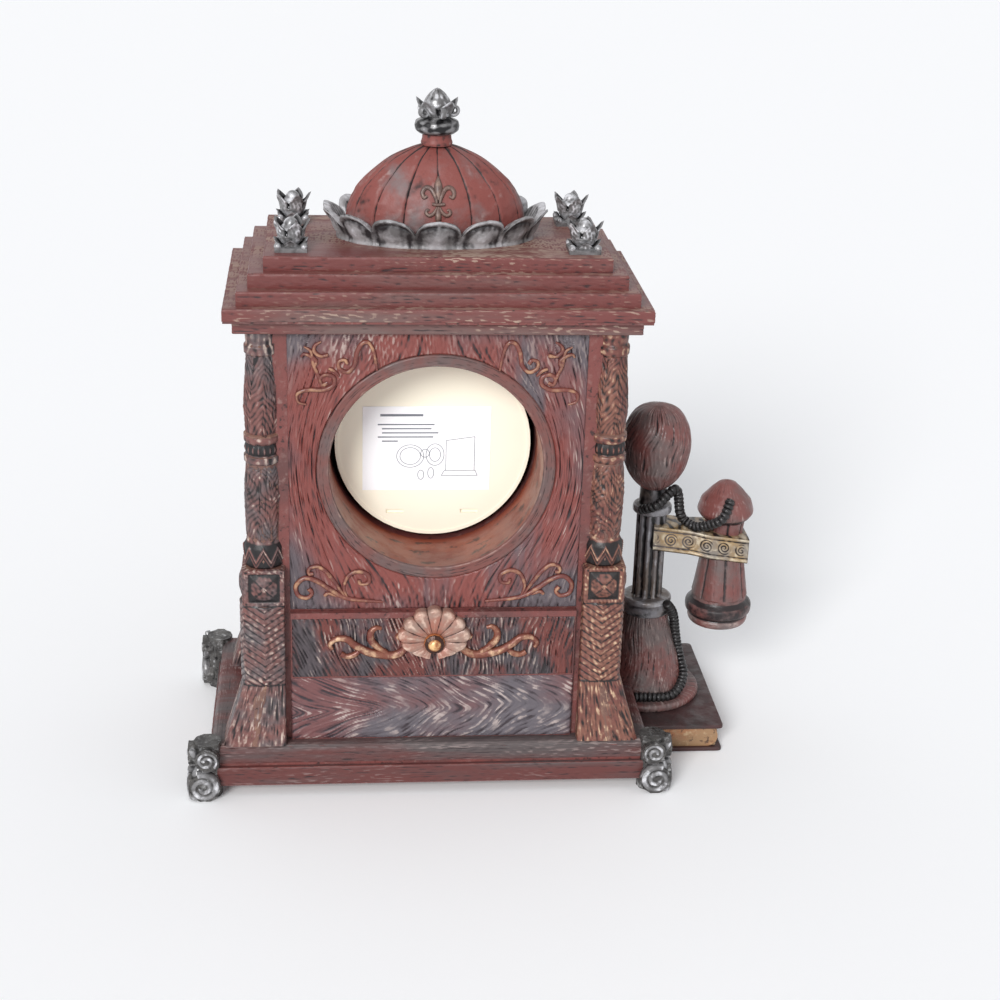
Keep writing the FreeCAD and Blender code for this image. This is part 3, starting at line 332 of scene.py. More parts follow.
def agedPaint(name, codes, roughness=0.5, metallic=0.0, patch=45, streak=(1, 1, 1), brushed=0.6, carved=True,
              bump=0.5, gap=(0.12, 0.5), crest=(0.72, 0.95), patchy=(0.38, 0.66), zone=None, mixed=0.7):
    # cast resin: two paints mottled together, a dark wash in the low places that is also their painted shade,
    # a light brush over the high ones; codes are those four colours
    material, tree, shader = newMaterial(name, codes[:6], roughness, metallic)
    base, second, washAndShade, brush = (paint(code) for code in codes.split())
    mottle = ranged(tree, noiseOn(tree, patch, 5.0, streak, 0.62), *patchy)
    if zone:
        # the second paint also fills what lies further than zone says from the axis of the hole
        kinds = ("ShaderNodeTexCoord", "ShaderNodeMapping", "ShaderNodeVectorMath")
        coords, mapping, length = (tree.nodes.new(kind) for kind in kinds)
        mapping.inputs["Location"].default_value = (-midX, 0, -holeRise * mm)
        mapping.inputs["Scale"].default_value = (1, 0, 1)
        length.operation = "LENGTH"
        feed(tree, coords.outputs["Object"], mapping, "Vector")
        feed(tree, mapping.outputs["Vector"], length, 0)
        strayed = combined(tree, length.outputs["Value"], combined(tree, noiseOn(tree, 26, 3.0), 0.06), "ADD")
        mottle = combined(tree, mottle, ranged(tree, strayed, *zone), "MAXIMUM")
    colour = blended(tree, base, second, mottle)
    grime = ranged(tree, noiseOn(tree, patch * 3.1, 5.0, streak), 0.34, 0.72)
    speckle = noiseOn(tree, 420, 3.0, streak)
    if carved:
        relief = tree.nodes.new("ShaderNodeAttribute")
        relief.attribute_name = "relief"
        height = relief.outputs["Fac"]
        noisy = combined(tree, height, combined(tree, combined(tree, speckle, 0.5, "SUBTRACT"), mixed), "ADD")
    else:
        noisy, crest, gap = speckle, (0.52, 0.7), (0.3, 0.42)
    top = combined(tree, ranged(tree, noisy, *crest), combined(tree, grime, brushed))
    colour = blended(tree, colour, brush, top)
    # the low places take the dark wash colour, which also paints in the shade that falls there
    colour = blended(tree, washAndShade, colour, ranged(tree, noisy, *gap))
    feed(tree, colour, shader, "Base Color")
    feed(tree, ranged(tree, grime, 0.0, 1.0, roughness - 0.1, roughness + 0.14), shader, "Roughness")
    bumpNode = addNode(tree, "ShaderNodeBump", Strength=bump, Distance=0.0005)
    feed(tree, speckle, bumpNode, "Height")
    feed(tree, bumpNode.outputs["Normal"], shader, "Normal")
    return material


def plainFinish(name, code, roughness, metallic=0.0, scale=600, bump=0.08, vary=0.06, mottled=0.88):
    # an even moulded or turned surface with a fine grain in its gloss
    material, tree, shader = newMaterial(name, code, roughness, metallic)
    base = paint(code)
    grain = noiseOn(tree, scale, 3.0)
    feed(tree, ranged(tree, grain, 0.3, 0.7, roughness - vary, roughness + vary), shader, "Roughness")
    darker = tuple(c * mottled for c in base[:3]) + (1.0,)
    clouded = blended(tree, darker, base, ranged(tree, noiseOn(tree, scale / 12, 3.0), 0.3, 0.6))
    feed(tree, clouded, shader, "Base Color")
    bumpNode = addNode(tree, "ShaderNodeBump", Strength=bump, Distance=0.0001)
    feed(tree, grain, bumpNode, "Height")
    feed(tree, bumpNode.outputs["Normal"], shader, "Normal")
    return material


wallPaint = agedPaint("wallPaint", "7a3e38 584f54 241a1d b8a69e", patch=40, streak=(1, 1, 0.16), gap=(0.1, 0.66),
                      crest=(0.8, 1.04), brushed=0.8, patchy=(0.52, 0.7), zone=(0.082, 0.104))
drawerPaint = agedPaint("drawerPaint", "66322c 484044 201a1d b2a298", patch=44, streak=(1, 1, 0.5),
                        gap=(0.14, 0.72), crest=(0.8, 1.02), brushed=0.9, patchy=(0.44, 0.58))
plankPaint = agedPaint("plankPaint", "6c4444 5c565c 30262c baaaa4", patch=34, streak=(0.6, 1, 1), brushed=0.9,
                       gap=(0.08, 0.6), crest=(0.8, 1.02))
plinthPaint = agedPaint("plinthPaint", "5d2f2c 4e4545 281c1e a08e8a", patch=34, streak=(0.14, 1, 1),
                        gap=(0.04, 0.6), crest=(0.8, 1.02), brushed=0.6, patchy=(0.46, 0.62))
roofPaint = agedPaint("roofPaint", "6b3734 685854 322224 ac9686", patch=30, streak=(0.14, 0.4, 1), gap=(0.0, 0.56),
                      crest=(0.82, 1.02), brushed=0.8, patchy=(0.5, 0.68))
ringPaint = agedPaint("ringPaint", "70423c 604e4c 2e1c1b a68c80", roughness=0.46, patch=50, brushed=0.6, bump=0.15,
                      gap=(0.1, 0.45), crest=(0.7, 0.95))
borePaint = agedPaint("borePaint", "8a4632 763c32 46241e a67058", roughness=0.42, patch=40, brushed=0.35, bump=0.12,
                      gap=(0.0, 0.3))
columnTan = agedPaint("columnTan", "7c5042 683a34 160f0f dcbe9c", patch=60, brushed=0.9, gap=(0.34, 0.82),
                      crest=(0.8, 1.0), mixed=0.45)
columnRed = agedPaint("columnRed", "724843 585052 141012 d0beb0", patch=60, brushed=0.9, gap=(0.34, 0.82),
                      crest=(0.8, 1.0), mixed=0.45)
shellPaint = agedPaint("shellPaint", "a06858 967c70 38201d dabeac", roughness=0.42, metallic=0.1, patch=90,
                       brushed=0.9, gap=(0.1, 0.5), crest=(0.7, 0.95))
giltPaint = agedPaint("giltPaint", "804c3a 68342e 221614 deba96", roughness=0.42, metallic=0.2, patch=90,
                      brushed=1.0, gap=(0.2, 0.6), crest=(0.72, 0.98))
pewterPaint = agedPaint("pewterPaint", "a8a6a8 6a6868 2c2a2c ccccd0", roughness=0.42, metallic=0.1, patch=80,
                        brushed=0.9, gap=(0.12, 0.55), crest=(0.66, 0.92))
silverPaint = agedPaint("silverPaint", "848384 605e5e 1c1b1d e8e8ec", roughness=0.38, metallic=0.35, patch=120,
                        brushed=1.0, gap=(0.2, 0.62), crest=(0.68, 0.94))
domePaint = agedPaint("domePaint", "7c403a 706666 1c1314 aa9692", roughness=0.6, patch=30, brushed=0.5,
                      patchy=(0.46, 0.64))
bookPaint = agedPaint("bookPaint", "422626 362c2c 1e1618 766864", patch=60, brushed=0.35)
pagePaint = agedPaint("pagePaint", "8e765a a06a4c 3a2c26 cebe9e", patch=60, streak=(1, 1, 4), brushed=0.8,
                      gap=(0.2, 0.6))
phonePaint = agedPaint("phonePaint", "744440 645654 201719 b8a49e", roughness=0.42, patch=50, brushed=0.7,
                       gap=(0.15, 0.6), crest=(0.76, 1.0))
stemPaint = agedPaint("stemPaint", "7a787c 685c54 1a191a bebec2", roughness=0.38, metallic=0.3, patch=60,
                      brushed=0.8)
bandPaint = agedPaint("bandPaint", "9e8460 847c74 1e1918 d4c8b0", roughness=0.4, metallic=0.25, patch=90,
                      brushed=0.8, gap=(0.2, 0.6))
cordPaint = agedPaint("cordPaint", "323031 242223 0c0c0c 848284", roughness=0.4, metallic=0.2, patch=90,
                      brushed=0.7, gap=(0.15, 0.6), crest=(0.75, 1.0))
scrollPaint = agedPaint("scrollPaint", "743e36 62322e 281917 bc9270", roughness=0.42, patch=90, brushed=0.8,
                        gap=(0.2, 0.6))
knobPaint = agedPaint("knobPaint", "b06c3e 965638 3c2218 ecc48c", roughness=0.34, metallic=0.4, patch=120,
                      brushed=1.0)
fleurPaint = agedPaint("fleurPaint", "684e46 54423e 201716 b09686", roughness=0.42, patch=120, brushed=0.6)
stemPlain = agedPaint("stemPlain", "58504e 484240 282424 aaa6a4", roughness=0.4, metallic=0.3, patch=60,
                      carved=False)
coverCream = plainFinish("coverCream", "fef7e2", 0.36, scale=900, mottled=0.99)
labelPaper = plainFinish("labelPaper", "fefeff", 0.6, scale=1500, vary=0.02, mottled=1.0)
inkGrey = plainFinish("inkGrey", "787c84", 0.6)
bezelBrass = plainFinish("bezelBrass", "c4a266", 0.24, 1.0, scale=1200, bump=0.04)
blackPlastic = plainFinish("blackPlastic", "222224", 0.42)
gripRubber = plainFinish("gripRubber", "1a1a1b", 0.75, bump=0.2)
dialCard = plainFinish("dialCard", "f0e8d2", 0.5, scale=1200)
inkBlack = plainFinish("inkBlack", "1a1818", 0.4)
gearWhite = plainFinish("gearWhite", "e2e2d8", 0.4)
cellWrap = plainFinish("cellWrap", "406e60", 0.36, 0.2)
springSteel = plainFinish("springSteel", "bebec0", 0.3, 1.0)
boardGreen = plainFinish("boardGreen", "245c34", 0.45)
coilCopper = plainFinish("coilCopper", "b06038", 0.35, 0.8)
movementPlastic = plainFinish("movementPlastic", "343438", 0.4)
magnetGrey = plainFinish("magnetGrey", "3c3c40", 0.4, 0.6)


def lensGlass():
    # clear and smooth, for the pane over the dial
    material, _, shader = newMaterial("lensGlass", "ffffff", 0.03)
    shader.inputs["Transmission Weight"].default_value = 1.0
    shader.inputs["IOR"].default_value = 1.45
    return material


def nodeMaterial(material, *names):
    # CAD nodes that show as they are get one material
    for name in names:
        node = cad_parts[name]
        node.data.materials.clear()
        node.data.materials.append(material)


print("stage: paints mixed")

wallSkin = {"half": 57.0, "low": 79.6, "high": 193.9, "out": 37.0, "stand": 0.75,
            "around": 940, "across": 74, "pitch": 3.1, "inside": 34.0, "ring": 45.95}


def upperWall(name, quarter, ring, seed):
    # a polar grid from the hole's ring to the wall's edges; the grain flows past the hole as water past a pile
    s = wallSkin
    angle = aroundAngles(s["around"])
    right, up = np.cos(angle), np.sin(angle)
    toSide = s["half"] / np.maximum(np.abs(right), 1e-9)
    toEnd = np.where(up > 0, s["high"] - holeRise, holeRise - s["low"]) / np.maximum(np.abs(up), 1e-9)
    far = np.minimum(toSide, toEnd)
    t = np.linspace(0, 1, s["across"])[:, None]
    r = ring + t * (far - ring)
    u, rise = r * right, r * up
    w = holeRise + rise
    pull = (s["inside"] / r) ** 2
    across = u * (1 - pull)
    along = rise * (1 + 0.6 * pull)
    knots = ripple(u, w, 26, seed + 3)
    strokes = ripple(rise / 3.6, u + 0.06 * u * rise / 40, 1.5, seed + 5)
    brushed = (soft(w, 166, 186) + 0.9 * (1 - soft(w, 82, 98))) * strokes
    carved = unit(woodGrain(along, across, s["pitch"], seed, length=38, fine=0.4, strokes=0.13) + 0.15 * brushed)
    edge = soft(far - r, 0, 0.9) * soft(r - ring, 0, 0.8)
    out = s["out"] + 0.06 + s["stand"] * carved * edge + 0.12 * knots * edge
    out[0, :] = out[-1, :] = s["out"] - 0.5
    corner = soft(w, 150, 190) * 0.14 + 0.07 * knots
    relief = unit(carved * (0.86 + 0.14 * edge) + corner - 0.2 * soft(knots, 0.2, 1.3))
    makePiece(name, [sheetMesh(wallPlace(u, out, w, quarter), relief, wrapColumns=True)], wallPaint)


def flatPanel(name, quarter, uRange, wRange, face, grain, stand, material, step=0.45):
    # a carved sheet on a flat face, let into it round its edges; grain(u, w) gives the relief from 0 to 1
    u = np.linspace(*uRange, int((uRange[1] - uRange[0]) / step))[None, :]
    w = np.linspace(*wRange, int((wRange[1] - wRange[0]) / step))[:, None]
    u, w = u + 0 * w, w + 0 * u
    value = grain(u, w)
    edge = (soft(u - uRange[0], 0, 0.9) * soft(uRange[1] - u, 0, 0.9)
            * soft(w - wRange[0], 0, 0.9) * soft(wRange[1] - w, 0, 0.9))
    out = face + 0.06 + stand * value * (0.25 + 0.75 * edge)
    out[0, :] = out[-1, :] = face - 0.4
    out[:, 0] = out[:, -1] = face - 0.4
    makePiece(name, [sheetMesh(wallPlace(u, out, w, quarter), value, flip=True)], material)


def drawerGrain(u, w):
    # short strokes that lean outward at the ends, darker there and along the foot
    lean = (0.14 - 0.32 * np.tanh(u / 24)) * (w - 63)
    across = u + lean + 0.6 * ripple(u, w, 26, 11)
    value = woodGrain(w, across, 2.5, 21, wander=0.4, length=10, fine=0.5, strokes=0.24)
    dark = soft(np.abs(u), 34, 56) * 0.2 + soft(57 - w, 0, 6) * 0.16
    return unit(value - dark * (0.6 + 0.5 * ripple(u, w, 13, 4)))


def plankGrain(u, w):
    # rows of arrow heads that point to the photo's right, drawn out at the left end
    fold = np.sqrt((w - 35.5 - 0.8 * ripple(u, w, 40, 30)) ** 2 + 0.6)
    slant = 1.55 + 0.9 * soft(-u, 10, 50)
    across = (u + slant * fold + 0.5 * ripple(u, w, 24, 31)) / np.hypot(1, slant)
    value = woodGrain(fold * 1.9, across, 3.3, 33, wander=0.15, length=13, fine=0.5, strokes=0.24)
    return unit(value + 0.08 * ripple(u, w, 18, 34) - 0.12 * soft(-u, 20, 56))


def sideGrain(u, w):
    # long upright grain on the sides of the case
    return woodGrain(w, u + 1.5 * ripple(u, w / 3, 24, 51), 3.3, 53, length=36)


for quarter, place in ((0, "rear"), (2, "front")):
    ring = wallSkin["ring"]
    if place == "front":
        ring = max(ring, (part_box("bezel")[1][0] - midX) / mm + 0.7)
    upperWall(f"{place}_wall_grain", quarter, ring, 7 + quarter)
    flatPanel(f"{place}_drawer_grain", quarter, (-56.5, 56.5), (50.5, 76.9), 39.0, drawerGrain, 0.7, drawerPaint)
    flatPanel(f"{place}_plank_grain", quarter, (-56.9, 56.9), (22.3, 50.3), 38.5, plankGrain, 0.6, plankPaint)
for quarter, place in ((1, "left"), (3, "right")):
    flatPanel(f"{place}_wall_grain", quarter, (-30, 30), (22.3, 193.9), 66.0, sideGrain, 0.7, drawerPaint,
              step=0.75)

# the smooth lining behind the hole's mouth and the flat ring round it: two profiles turned about the hole's axis
boreSkin = {"sides": 300,
            "lining": ((41.28, 10.4), (41.28, 37.2)),
            "ring": ((41.28, 36.9), (41.3, 37.5), (41.75, 38.0), (42.5, 38.05), (43.2, 37.9), (44.6, 37.9),
                     (45.4, 38.0), (46.0, 37.6), (46.1, 36.6))}


def boreSheet(profile, step, relief):
    # a profile of (radius, distance out) turned about the hole's axis
    s = boreSkin
    rows = fineProfile(profile, step)
    angle = aroundAngles(s["sides"])
    radius = rows[:, :1] + 0 * angle
    out = rows[:, 1:] + 0 * angle
    points = wallPlace(radius * np.cos(angle), out, holeRise + radius * np.sin(angle))
    return sheetMesh(points, unit(relief(radius, out, angle)), wrapColumns=True)


def liningRelief(radius, out, angle):
    # hardly uneven: wide waves with small ones on them
    return 0.5 + 0.2 * ripple(angle * 41, out * 2, 14, 61) + 0.1 * ripple(angle * 41, out * 3, 3, 62)


def ringRelief(radius, out, angle):
    # fine lines that run round the ring, and a bright lip at its inner edge
    lines = woodGrain(angle * 43, radius, 1.3, 63, wander=0.5, length=26, fine=0.6)
    lip = hill(radius - 41.8, 0.35)
    return 0.72 * lines + 0.4 * lip


makePiece("bore_lining", [boreSheet(boreSkin["lining"], 0.8, liningRelief)], borePaint)
makePiece("bore_ring", [boreSheet(boreSkin["ring"], 0.22, ringRelief)], ringPaint)
nodeWood = agedPaint("nodeWood", "743e3a 5c3836 3a2221 a08880", patch=38, carved=False, brushed=0.4)
print("stage: walls carved")


def sweptMoulding(name, rows, frontOut, grain, stand, material, step=0.95):
    # rows of (half width, rear reach, height, carve, wear and shade); frontOut is how much further the front
    # reaches;
    # wear and shade lightens worn treads and edges, and darkens creases and ledge undersides as painted shade
    rows = np.array(rows, dtype=float)
    halfX, rear, w, carve, wearAndShade = (rows[:, k][:, None] for k in range(5))
    front = rear + frontOut
    longX, longY = 2 * rows[:, 0].max(), rows[:, 1].max() * 2 + frontOut
    nx, ny = int(longX / step), int(longY / step)
    side = np.repeat(np.arange(4), (nx, ny, nx, ny))[None, :]
    share = np.concatenate([np.arange(n) / n for n in (nx, ny, nx, ny)])[None, :]
    run = share * np.where(side % 2 == 0, longX, longY) + side * 500
    profileRun = np.concatenate([[0], np.cumsum(np.hypot(np.diff(rows[:, 0]), np.diff(rows[:, 2])))])[:, None]
    value = grain(run, profileRun + 0 * run)
    lift = stand * value * carve
    x0, yr, yf = halfX + lift, rear + lift, front + lift
    u = np.choose(side, [x0 * (1 - 2 * share), -x0 + 0 * share, x0 * (2 * share - 1), x0 + 0 * share])
    v = np.choose(side, [yr + 0 * share, yr - share * (yr + yf), -yf + 0 * share, -yf + share * (yr + yf)])
    points = wallPlace(u, v, w + 0 * u)
    # painted shade where the last column is negative (creases, ledge undersides); lighter worn treads where it is
    # positive
    relief = unit(value * np.where(carve > 0, 1, 0.9) + wearAndShade)
    makePiece(name, [sheetMesh(points, relief, wrapColumns=True)], material)


def mouldingRows(corners, step):
    # corner rows of (half width, rear reach, height, carve, wear and shade) with even rows between them
    rows = np.array(corners, dtype=float)
    run = np.concatenate([[0], np.cumsum(np.linalg.norm(np.diff(rows[:, :3], axis=0), axis=1))])
    parts = []
    for k in range(len(rows) - 1):
        count = max(1, int(round((run[k + 1] - run[k]) / step)))
        parts.append(rows[k] + (rows[k + 1] - rows[k]) * (np.arange(count) / count)[:, None])
    parts.append(rows[-1:])
    return np.concatenate(parts)


def railGrain(seed, pitch):
    # grain that runs along a moulding
    def grain(run, across):
        across = across + 0.15 * ripple(run / 6, across, 9, seed)
        return woodGrain(run, across, pitch, seed, wander=0.3, length=40, fine=0.4, strokes=0.2)
    return grain


# last column: negative paints shade into the crease between the slabs, positive lightens worn edges
plinthCorners = (
    (86.0, 40.5, 4.95, 0, 0), (90.2, 44.7, 4.95, 0, 0), (90.55, 45.05, 5.5, 1, 0), (90.55, 45.05, 12.6, 1, 0),
    (90.2, 44.7, 13.2, 0.6, 0.1), (88.8, 43.3, 13.3, 0.2, -0.3), (88.6, 43.1, 13.9, 0.2, -0.2),
    (89.0, 43.5, 14.6, 1, 0), (89.0, 43.5, 19.6, 1, 0), (88.7, 43.2, 20.9, 1, 0.12),
    (87.7, 42.2, 21.95, 0.8, 0.2), (86.4, 40.9, 22.3, 0.5, 0.2), (84.5, 39.4, 22.32, 0.4, 0.05),
    (65.0, 36.0, 22.32, 0.3, 0.0),
)
sweptMoulding("plinth_grain", mouldingRows(plinthCorners, 0.5), 12.5, railGrain(71, 1.5), 0.25, plinthPaint)

# last column: negative paints shade under the ledges and in inner corners, positive lightens worn treads
roofCorners = (
    (75.0, 39.2, 193.95, 0, 0), (76.3, 40.5, 193.95, 0, 0), (76.5, 40.7, 194.4, 1, 0), (76.5, 40.7, 198.0, 1, 0),
    (77.4, 41.6, 198.7, 0.5, -0.35), (79.2, 43.2, 199.0, 0.5, -0.2), (80.0, 44.0, 199.8, 1, 0),
    (80.0, 44.0, 203.6, 1, 0), (79.6, 43.6, 204.5, 0.6, 0.25), (77.0, 42.0, 204.62, 0.2, 0.45),
    (75.0, 40.9, 204.62, 0.0, 0.1), (74.9, 40.8, 205.1, 1, -0.1), (74.9, 40.8, 209.4, 1, 0),
    (74.5, 40.4, 210.1, 0.6, 0.25), (72.0, 38.0, 210.22, 0.2, 0.45), (70.8, 36.4, 210.22, 0, 0.1),
    (70.7, 36.3, 210.8, 1, -0.1), (70.7, 36.3, 215.0, 1, 0), (70.3, 35.9, 215.7, 0.6, 0.25),
    (68.0, 34.2, 215.82, 0.2, 0.45), (65.1, 32.5, 215.82, 0, 0.1), (65.0, 32.4, 216.4, 1, -0.1),
    (65.0, 32.4, 220.6, 1, 0), (64.6, 32.0, 221.3, 0.6, 0.25), (61.0, 29.0, 221.42, 0.2, 0.4),
    (26.0, 12.0, 221.42, 0.2, 0.3),
)
sweptMoulding("roof_grain", mouldingRows(roofCorners, 0.6), 0.0, railGrain(81, 1.25), 0.22, roofPaint)
print("stage: mouldings swept")


columnSkin = {"u": 66.7, "v": 34.0, "footTop": 49.4, "low": 22.2,
              "blockHalf": 8.0, "prismHalf": 7.7, "ridge": 1.8, "flareSide": 16.3, "flareFace": 9.3,
              "blockMiddle": 91.35,
              "shaft": ((98.8, 6.9), (99.6, 7.4), (103, 7.3), (107, 7.5), (109.4, 6.6), (110.4, 6.3), (121, 6.7),
                        (128, 6.9), (136, 6.5), (141.4, 6.0), (142.2, 6.9), (144.4, 7.0), (145.3, 6.0),
                        (146.2, 6.25), (147.4, 6.35), (148.6, 6.25), (149.7, 6.0), (150.4, 6.9), (152.6, 7.0),
                        (153.4, 5.9), (156, 6.0), (164, 6.55), (172, 6.1), (181, 5.3), (184.6, 5.2),
                        (185.4, 6.1), (188.2, 6.2), (189.2, 5.4), (193.95, 5.8))}


def columnShaft(name, u0, v0, seed, material):
    # a turned shaft covered in feather-like leaves: nested V lines that point down, between plain rings
    s = columnSkin
    rows = fineProfile(s["shaft"], 0.42)
    w = rows[:, :1]
    angle = aroundAngles(120)
    w, angle = w + 0 * angle, angle + 0 * w
    radius = rows[:, 1:] + 0 * angle
    arc = angle * 6.2
    lower = window(w, 110.4, 111.4, 140.4, 141.4)
    upper = window(w, 153.4, 154.4, 183.8, 184.8)
    leafy = lower + upper
    fold = np.abs(zigzag(angle / turn * 4 + 0.5 + (w - 150) * 0.006 + 10) - 1) * 4.9
    vein = np.modf((w + 1.5 * (4.9 - fold) + 0.9 * ripple(arc, w, 12, seed)) / 3.1 + 100)[0]
    feather = 0.25 + 0.75 * np.sin(unit(vein * 1.12) * math.pi) ** 0.6
    comb = arc + 1.3 * np.sin(w / 11 + seed) + 0.8 * fold
    strand = woodGrain(w, comb, 1.7, seed, wander=0.3, length=20, fine=0.6, strokes=0.12)
    leaf = unit(0.42 * feather + 0.62 * strand - 0.08)
    collar = window(w, 98.8, 99.4, 108.6, 109.4)
    zig = zigzag(angle / turn * 8 + 10)
    hem = hill(w - (101.6 + 5.6 * zig), 0.75)
    tongue = hill(w - (99.4 + 5.2 * zig), 0.7)
    cup = unit(0.28 + 0.75 * hem + 0.4 * tongue)
    beads = window(w, 145.1, 145.5, 149.5, 149.9)
    bead = unit(0.12 + 0.8 * np.maximum(np.cos(angle * 18), 0) * hill(w - 147.4, 1.5))
    plain = unit(0.74 + 0.18 * ripple(arc, w, 3.5, seed + 2))
    relief = plain * (1 - leafy) * (1 - collar) * (1 - beads) + leaf * leafy + cup * collar + bead * beads
    radius = radius + leafy * (0.85 * leaf - 0.35) + collar * (0.8 * cup - 0.1) + beads * 0.5 * bead
    u = u0 + radius * np.cos(angle)
    v = v0 + radius * np.sin(angle)
    sheet = sheetMesh(wallPlace(u, v, w), unit(relief), wrapColumns=True)
    makePiece(name, [sheet], material, crease=60)


def columnBase(name, signU, signV, seed, material):
    # the square block, the chevron prism and the flared foot as one loop of four faces, from the top down
    s = columnSkin
    w = np.concatenate([[99.0], np.arange(98.85, 22.3, -0.46), [22.3]])[:, None]
    per = 38
    a = np.tile(np.linspace(-1, 1, per, endpoint=False), 4)[None, :]
    face = np.repeat(np.arange(4), per)[None, :]
    a, w, face = a + 0 * w, w + 0 * a, face + 0 * (a * w).astype(int)
    block = soft(w, 83.5, 83.9)
    flare = unit((s["footTop"] - w) / (s["footTop"] - s["low"]))
    prism = (1 - block) * (1 - soft(s["footTop"] + 0.4 - w, 0, 0.8))
    half = np.where(w > 98.9, 6.5, s["prismHalf"] + (s["blockHalf"] - s["prismHalf"]) * block) + 0.05
    sideOut = half + (s["flareSide"] - s["prismHalf"]) * flare
    faceOut = half + (s["flareFace"] - s["prismHalf"]) * flare
    # faces: 0 outward along v, 1 outward along u, 2 and 3 toward the case
    lowU = -half
    x = np.choose(face, [lowU + (sideOut - lowU) * (a + 1) / 2, sideOut,
                         sideOut + (lowU - sideOut) * (a + 1) / 2, lowU])
    y = np.choose(face, [faceOut, faceOut + (lowU - faceOut) * (a + 1) / 2,
                         lowU, lowU + (faceOut - lowU) * (a + 1) / 2])
    fromMiddle = np.abs(a)
    # block: a light frame, pins in its corners, an eight-sided table, a cross on it and a round middle
    cu, cw = a * s["blockHalf"], w - s["blockMiddle"]
    ring = np.maximum(np.abs(cu), np.abs(cw))
    frameBand = soft(ring, 5.7, 6.2) * (1 - 0.5 * soft(ring, 7.6, 8.0))
    octagon = np.maximum(ring, (np.abs(cu) + np.abs(cw)) * 0.74)
    table = soft(5.3 - octagon, 0, 0.5)
    cross = hill(np.abs(cu) - np.abs(cw), 0.3) * table
    centre = soft(1.15 - np.hypot(cu, cw), 0, 0.4)
    pins = np.exp(-((np.abs(cu) - 6.7) ** 2 + (np.abs(cw) - 6.7) ** 2) / 0.25)
    blockRelief = unit(0.36 + 0.46 * frameBand - 0.3 * hill(ring - 5.6, 0.35)
                       + (0.3 + 0.1 * ripple(cu, cw, 2, seed)) * table - 0.5 * cross
                       + 0.6 * centre - 0.5 * pins + 0.12 * ripple(cu, cw, 1.5, seed + 3) * frameBand)
    blockLift = 0.5 * frameBand + soft(5.6 - ring, 0, 0.3) * (0.3 + 1.62 * unit((5.3 - ring) / 3.3)) - 0.2 * cross
    # prism: V lines that point down, mirrored about a ridge
    vee = np.modf((w - 5.0 * fromMiddle) / 2.9 + 100)[0]
    bar = unit(1.35 * np.sin(vee * math.pi) ** 0.6)
    stripes = 0.5 + 0.5 * ripple(w, a * 8, 2.4, seed)
    veeRelief = unit(0.16 + 0.54 * bar + 0.22 * stripes * bar)
    veeLift = s["ridge"] * (1 - fromMiddle) + 0.45 * bar
    # foot: upright grain that spreads with the flare
    footGrain = woodGrain(w, a * 11 + 0 * w, 2.3, seed + 4, wander=0.3, length=16, fine=0.7, strokes=0.13)
    footRelief = unit(footGrain + 0.1 * flare)
    footLift = s["ridge"] / 2 * (1 - flare) * (1 - fromMiddle) + 0.35 * footGrain + 0.55
    edge = soft(1 - fromMiddle, 0, 0.06)
    foot = unit(1 - block - prism)
    lift = (blockLift * block + veeLift * prism + footLift * foot) * edge
    relief = blockRelief * block + veeRelief * prism + footRelief * foot
    groove = hill(w - 83.6, 0.35) + hill(w - 49.3, 0.35)
    relief = unit(relief - 0.5 * groove)
    x = x + np.where(face == 1, lift, 0)
    y = y + np.where(face == 0, lift, 0)
    u = signU * (s["u"] + x)
    v = signV * (s["v"] + y)
    sheet = sheetMesh(wallPlace(u, v, w), relief, wrapColumns=True, flip=signU * signV < 0)
    makePiece(name, [sheet], material, crease=50)


columnPlaces = ((-1, 1, "rear_right"), (1, 1, "rear_left"), (-1, -1, "front_right"), (1, -1, "front_left"))
for index, (signU, signV, place) in enumerate(columnPlaces):
    material = columnTan if signU > 0 else columnRed
    columnShaft(f"{place}_shaft_leaves", signU * columnSkin["u"], signV * columnSkin["v"], 91 + index, material)
    columnBase(f"{place}_column_foot", signU, signV, 95 + index, material)
columnPlain = agedPaint("columnPlain", "765448 60443e 322220 b4967c", patch=60, carved=False)
nodeMaterial(columnPlain, *(f"column_{place}" for _, _, place in columnPlaces))
print("stage: columns carved")


wallScrolls = {
    "face": 37.85, "radius": 0.82,
    "paths": (
        (1.15, ((-20.2, 83), (-34, 84.7), (-41, 88.7), (-46.3, 92.4), (-51, 93.6), (-54.4, 90.4), (-53.6, 86.3),
                (-50.2, 85.1), (-48.2, 87.1), (-49.4, 89.1))),
        (1.0, ((-34.8, 84.7), (-37.8, 89.6), (-41.7, 95.2), (-45.5, 98.5), (-49, 97.8), (-49.4, 95.6),
               (-47.6, 95.6))),
        (1.0, ((-34, 84), (-35.7, 89.6), (-34, 94.4), (-30.2, 96.4), (-26.3, 94.8), (-26, 91.6), (-29, 90.8),
               (-29.8, 92.8))),
        (0.8, ((-38.5, 85.6), (-41.7, 87), (-43.4, 85.9))),
        (1.0, ((-49.7, 165.5), (-52.7, 166.6), (-53.1, 169.6), (-50.4, 171.2), (-46.6, 171.4), (-42.8, 171.4),
               (-39.4, 173.4), (-39.4, 176.4), (-42.4, 177.4), (-44.5, 175.7), (-43.6, 173.4), (-41.7, 174.2))),
        (1.0, ((-23.1, 179), (-24.3, 185.8), (-26.2, 189.9), (-28.8, 189.6), (-30.7, 185.8), (-31.5, 181.3),
               (-34.1, 178.5), (-37.2, 179.8), (-37.5, 182.4), (-35.3, 183.2), (-34.1, 181.7))),
        (0.8, ((-37.2, 176.8), (-39.4, 179), (-41.3, 179.8))),
        (0.9, ((-51.5, 184.3), (-50.4, 185.4), (-48.1, 184.7), (-45.9, 182.8), (-46.6, 180.5))),
        (0.9, ((-44, 190.3), (-46.2, 188.8), (-46.6, 186.6), (-44.4, 184.7), (-41.3, 185.1))),
        (0.9, ((-50.4, 188.4), (-48.1, 186.9), (-47.4, 184.7), (-46.6, 180.5), (-44.5, 175.7))),
    ),
}
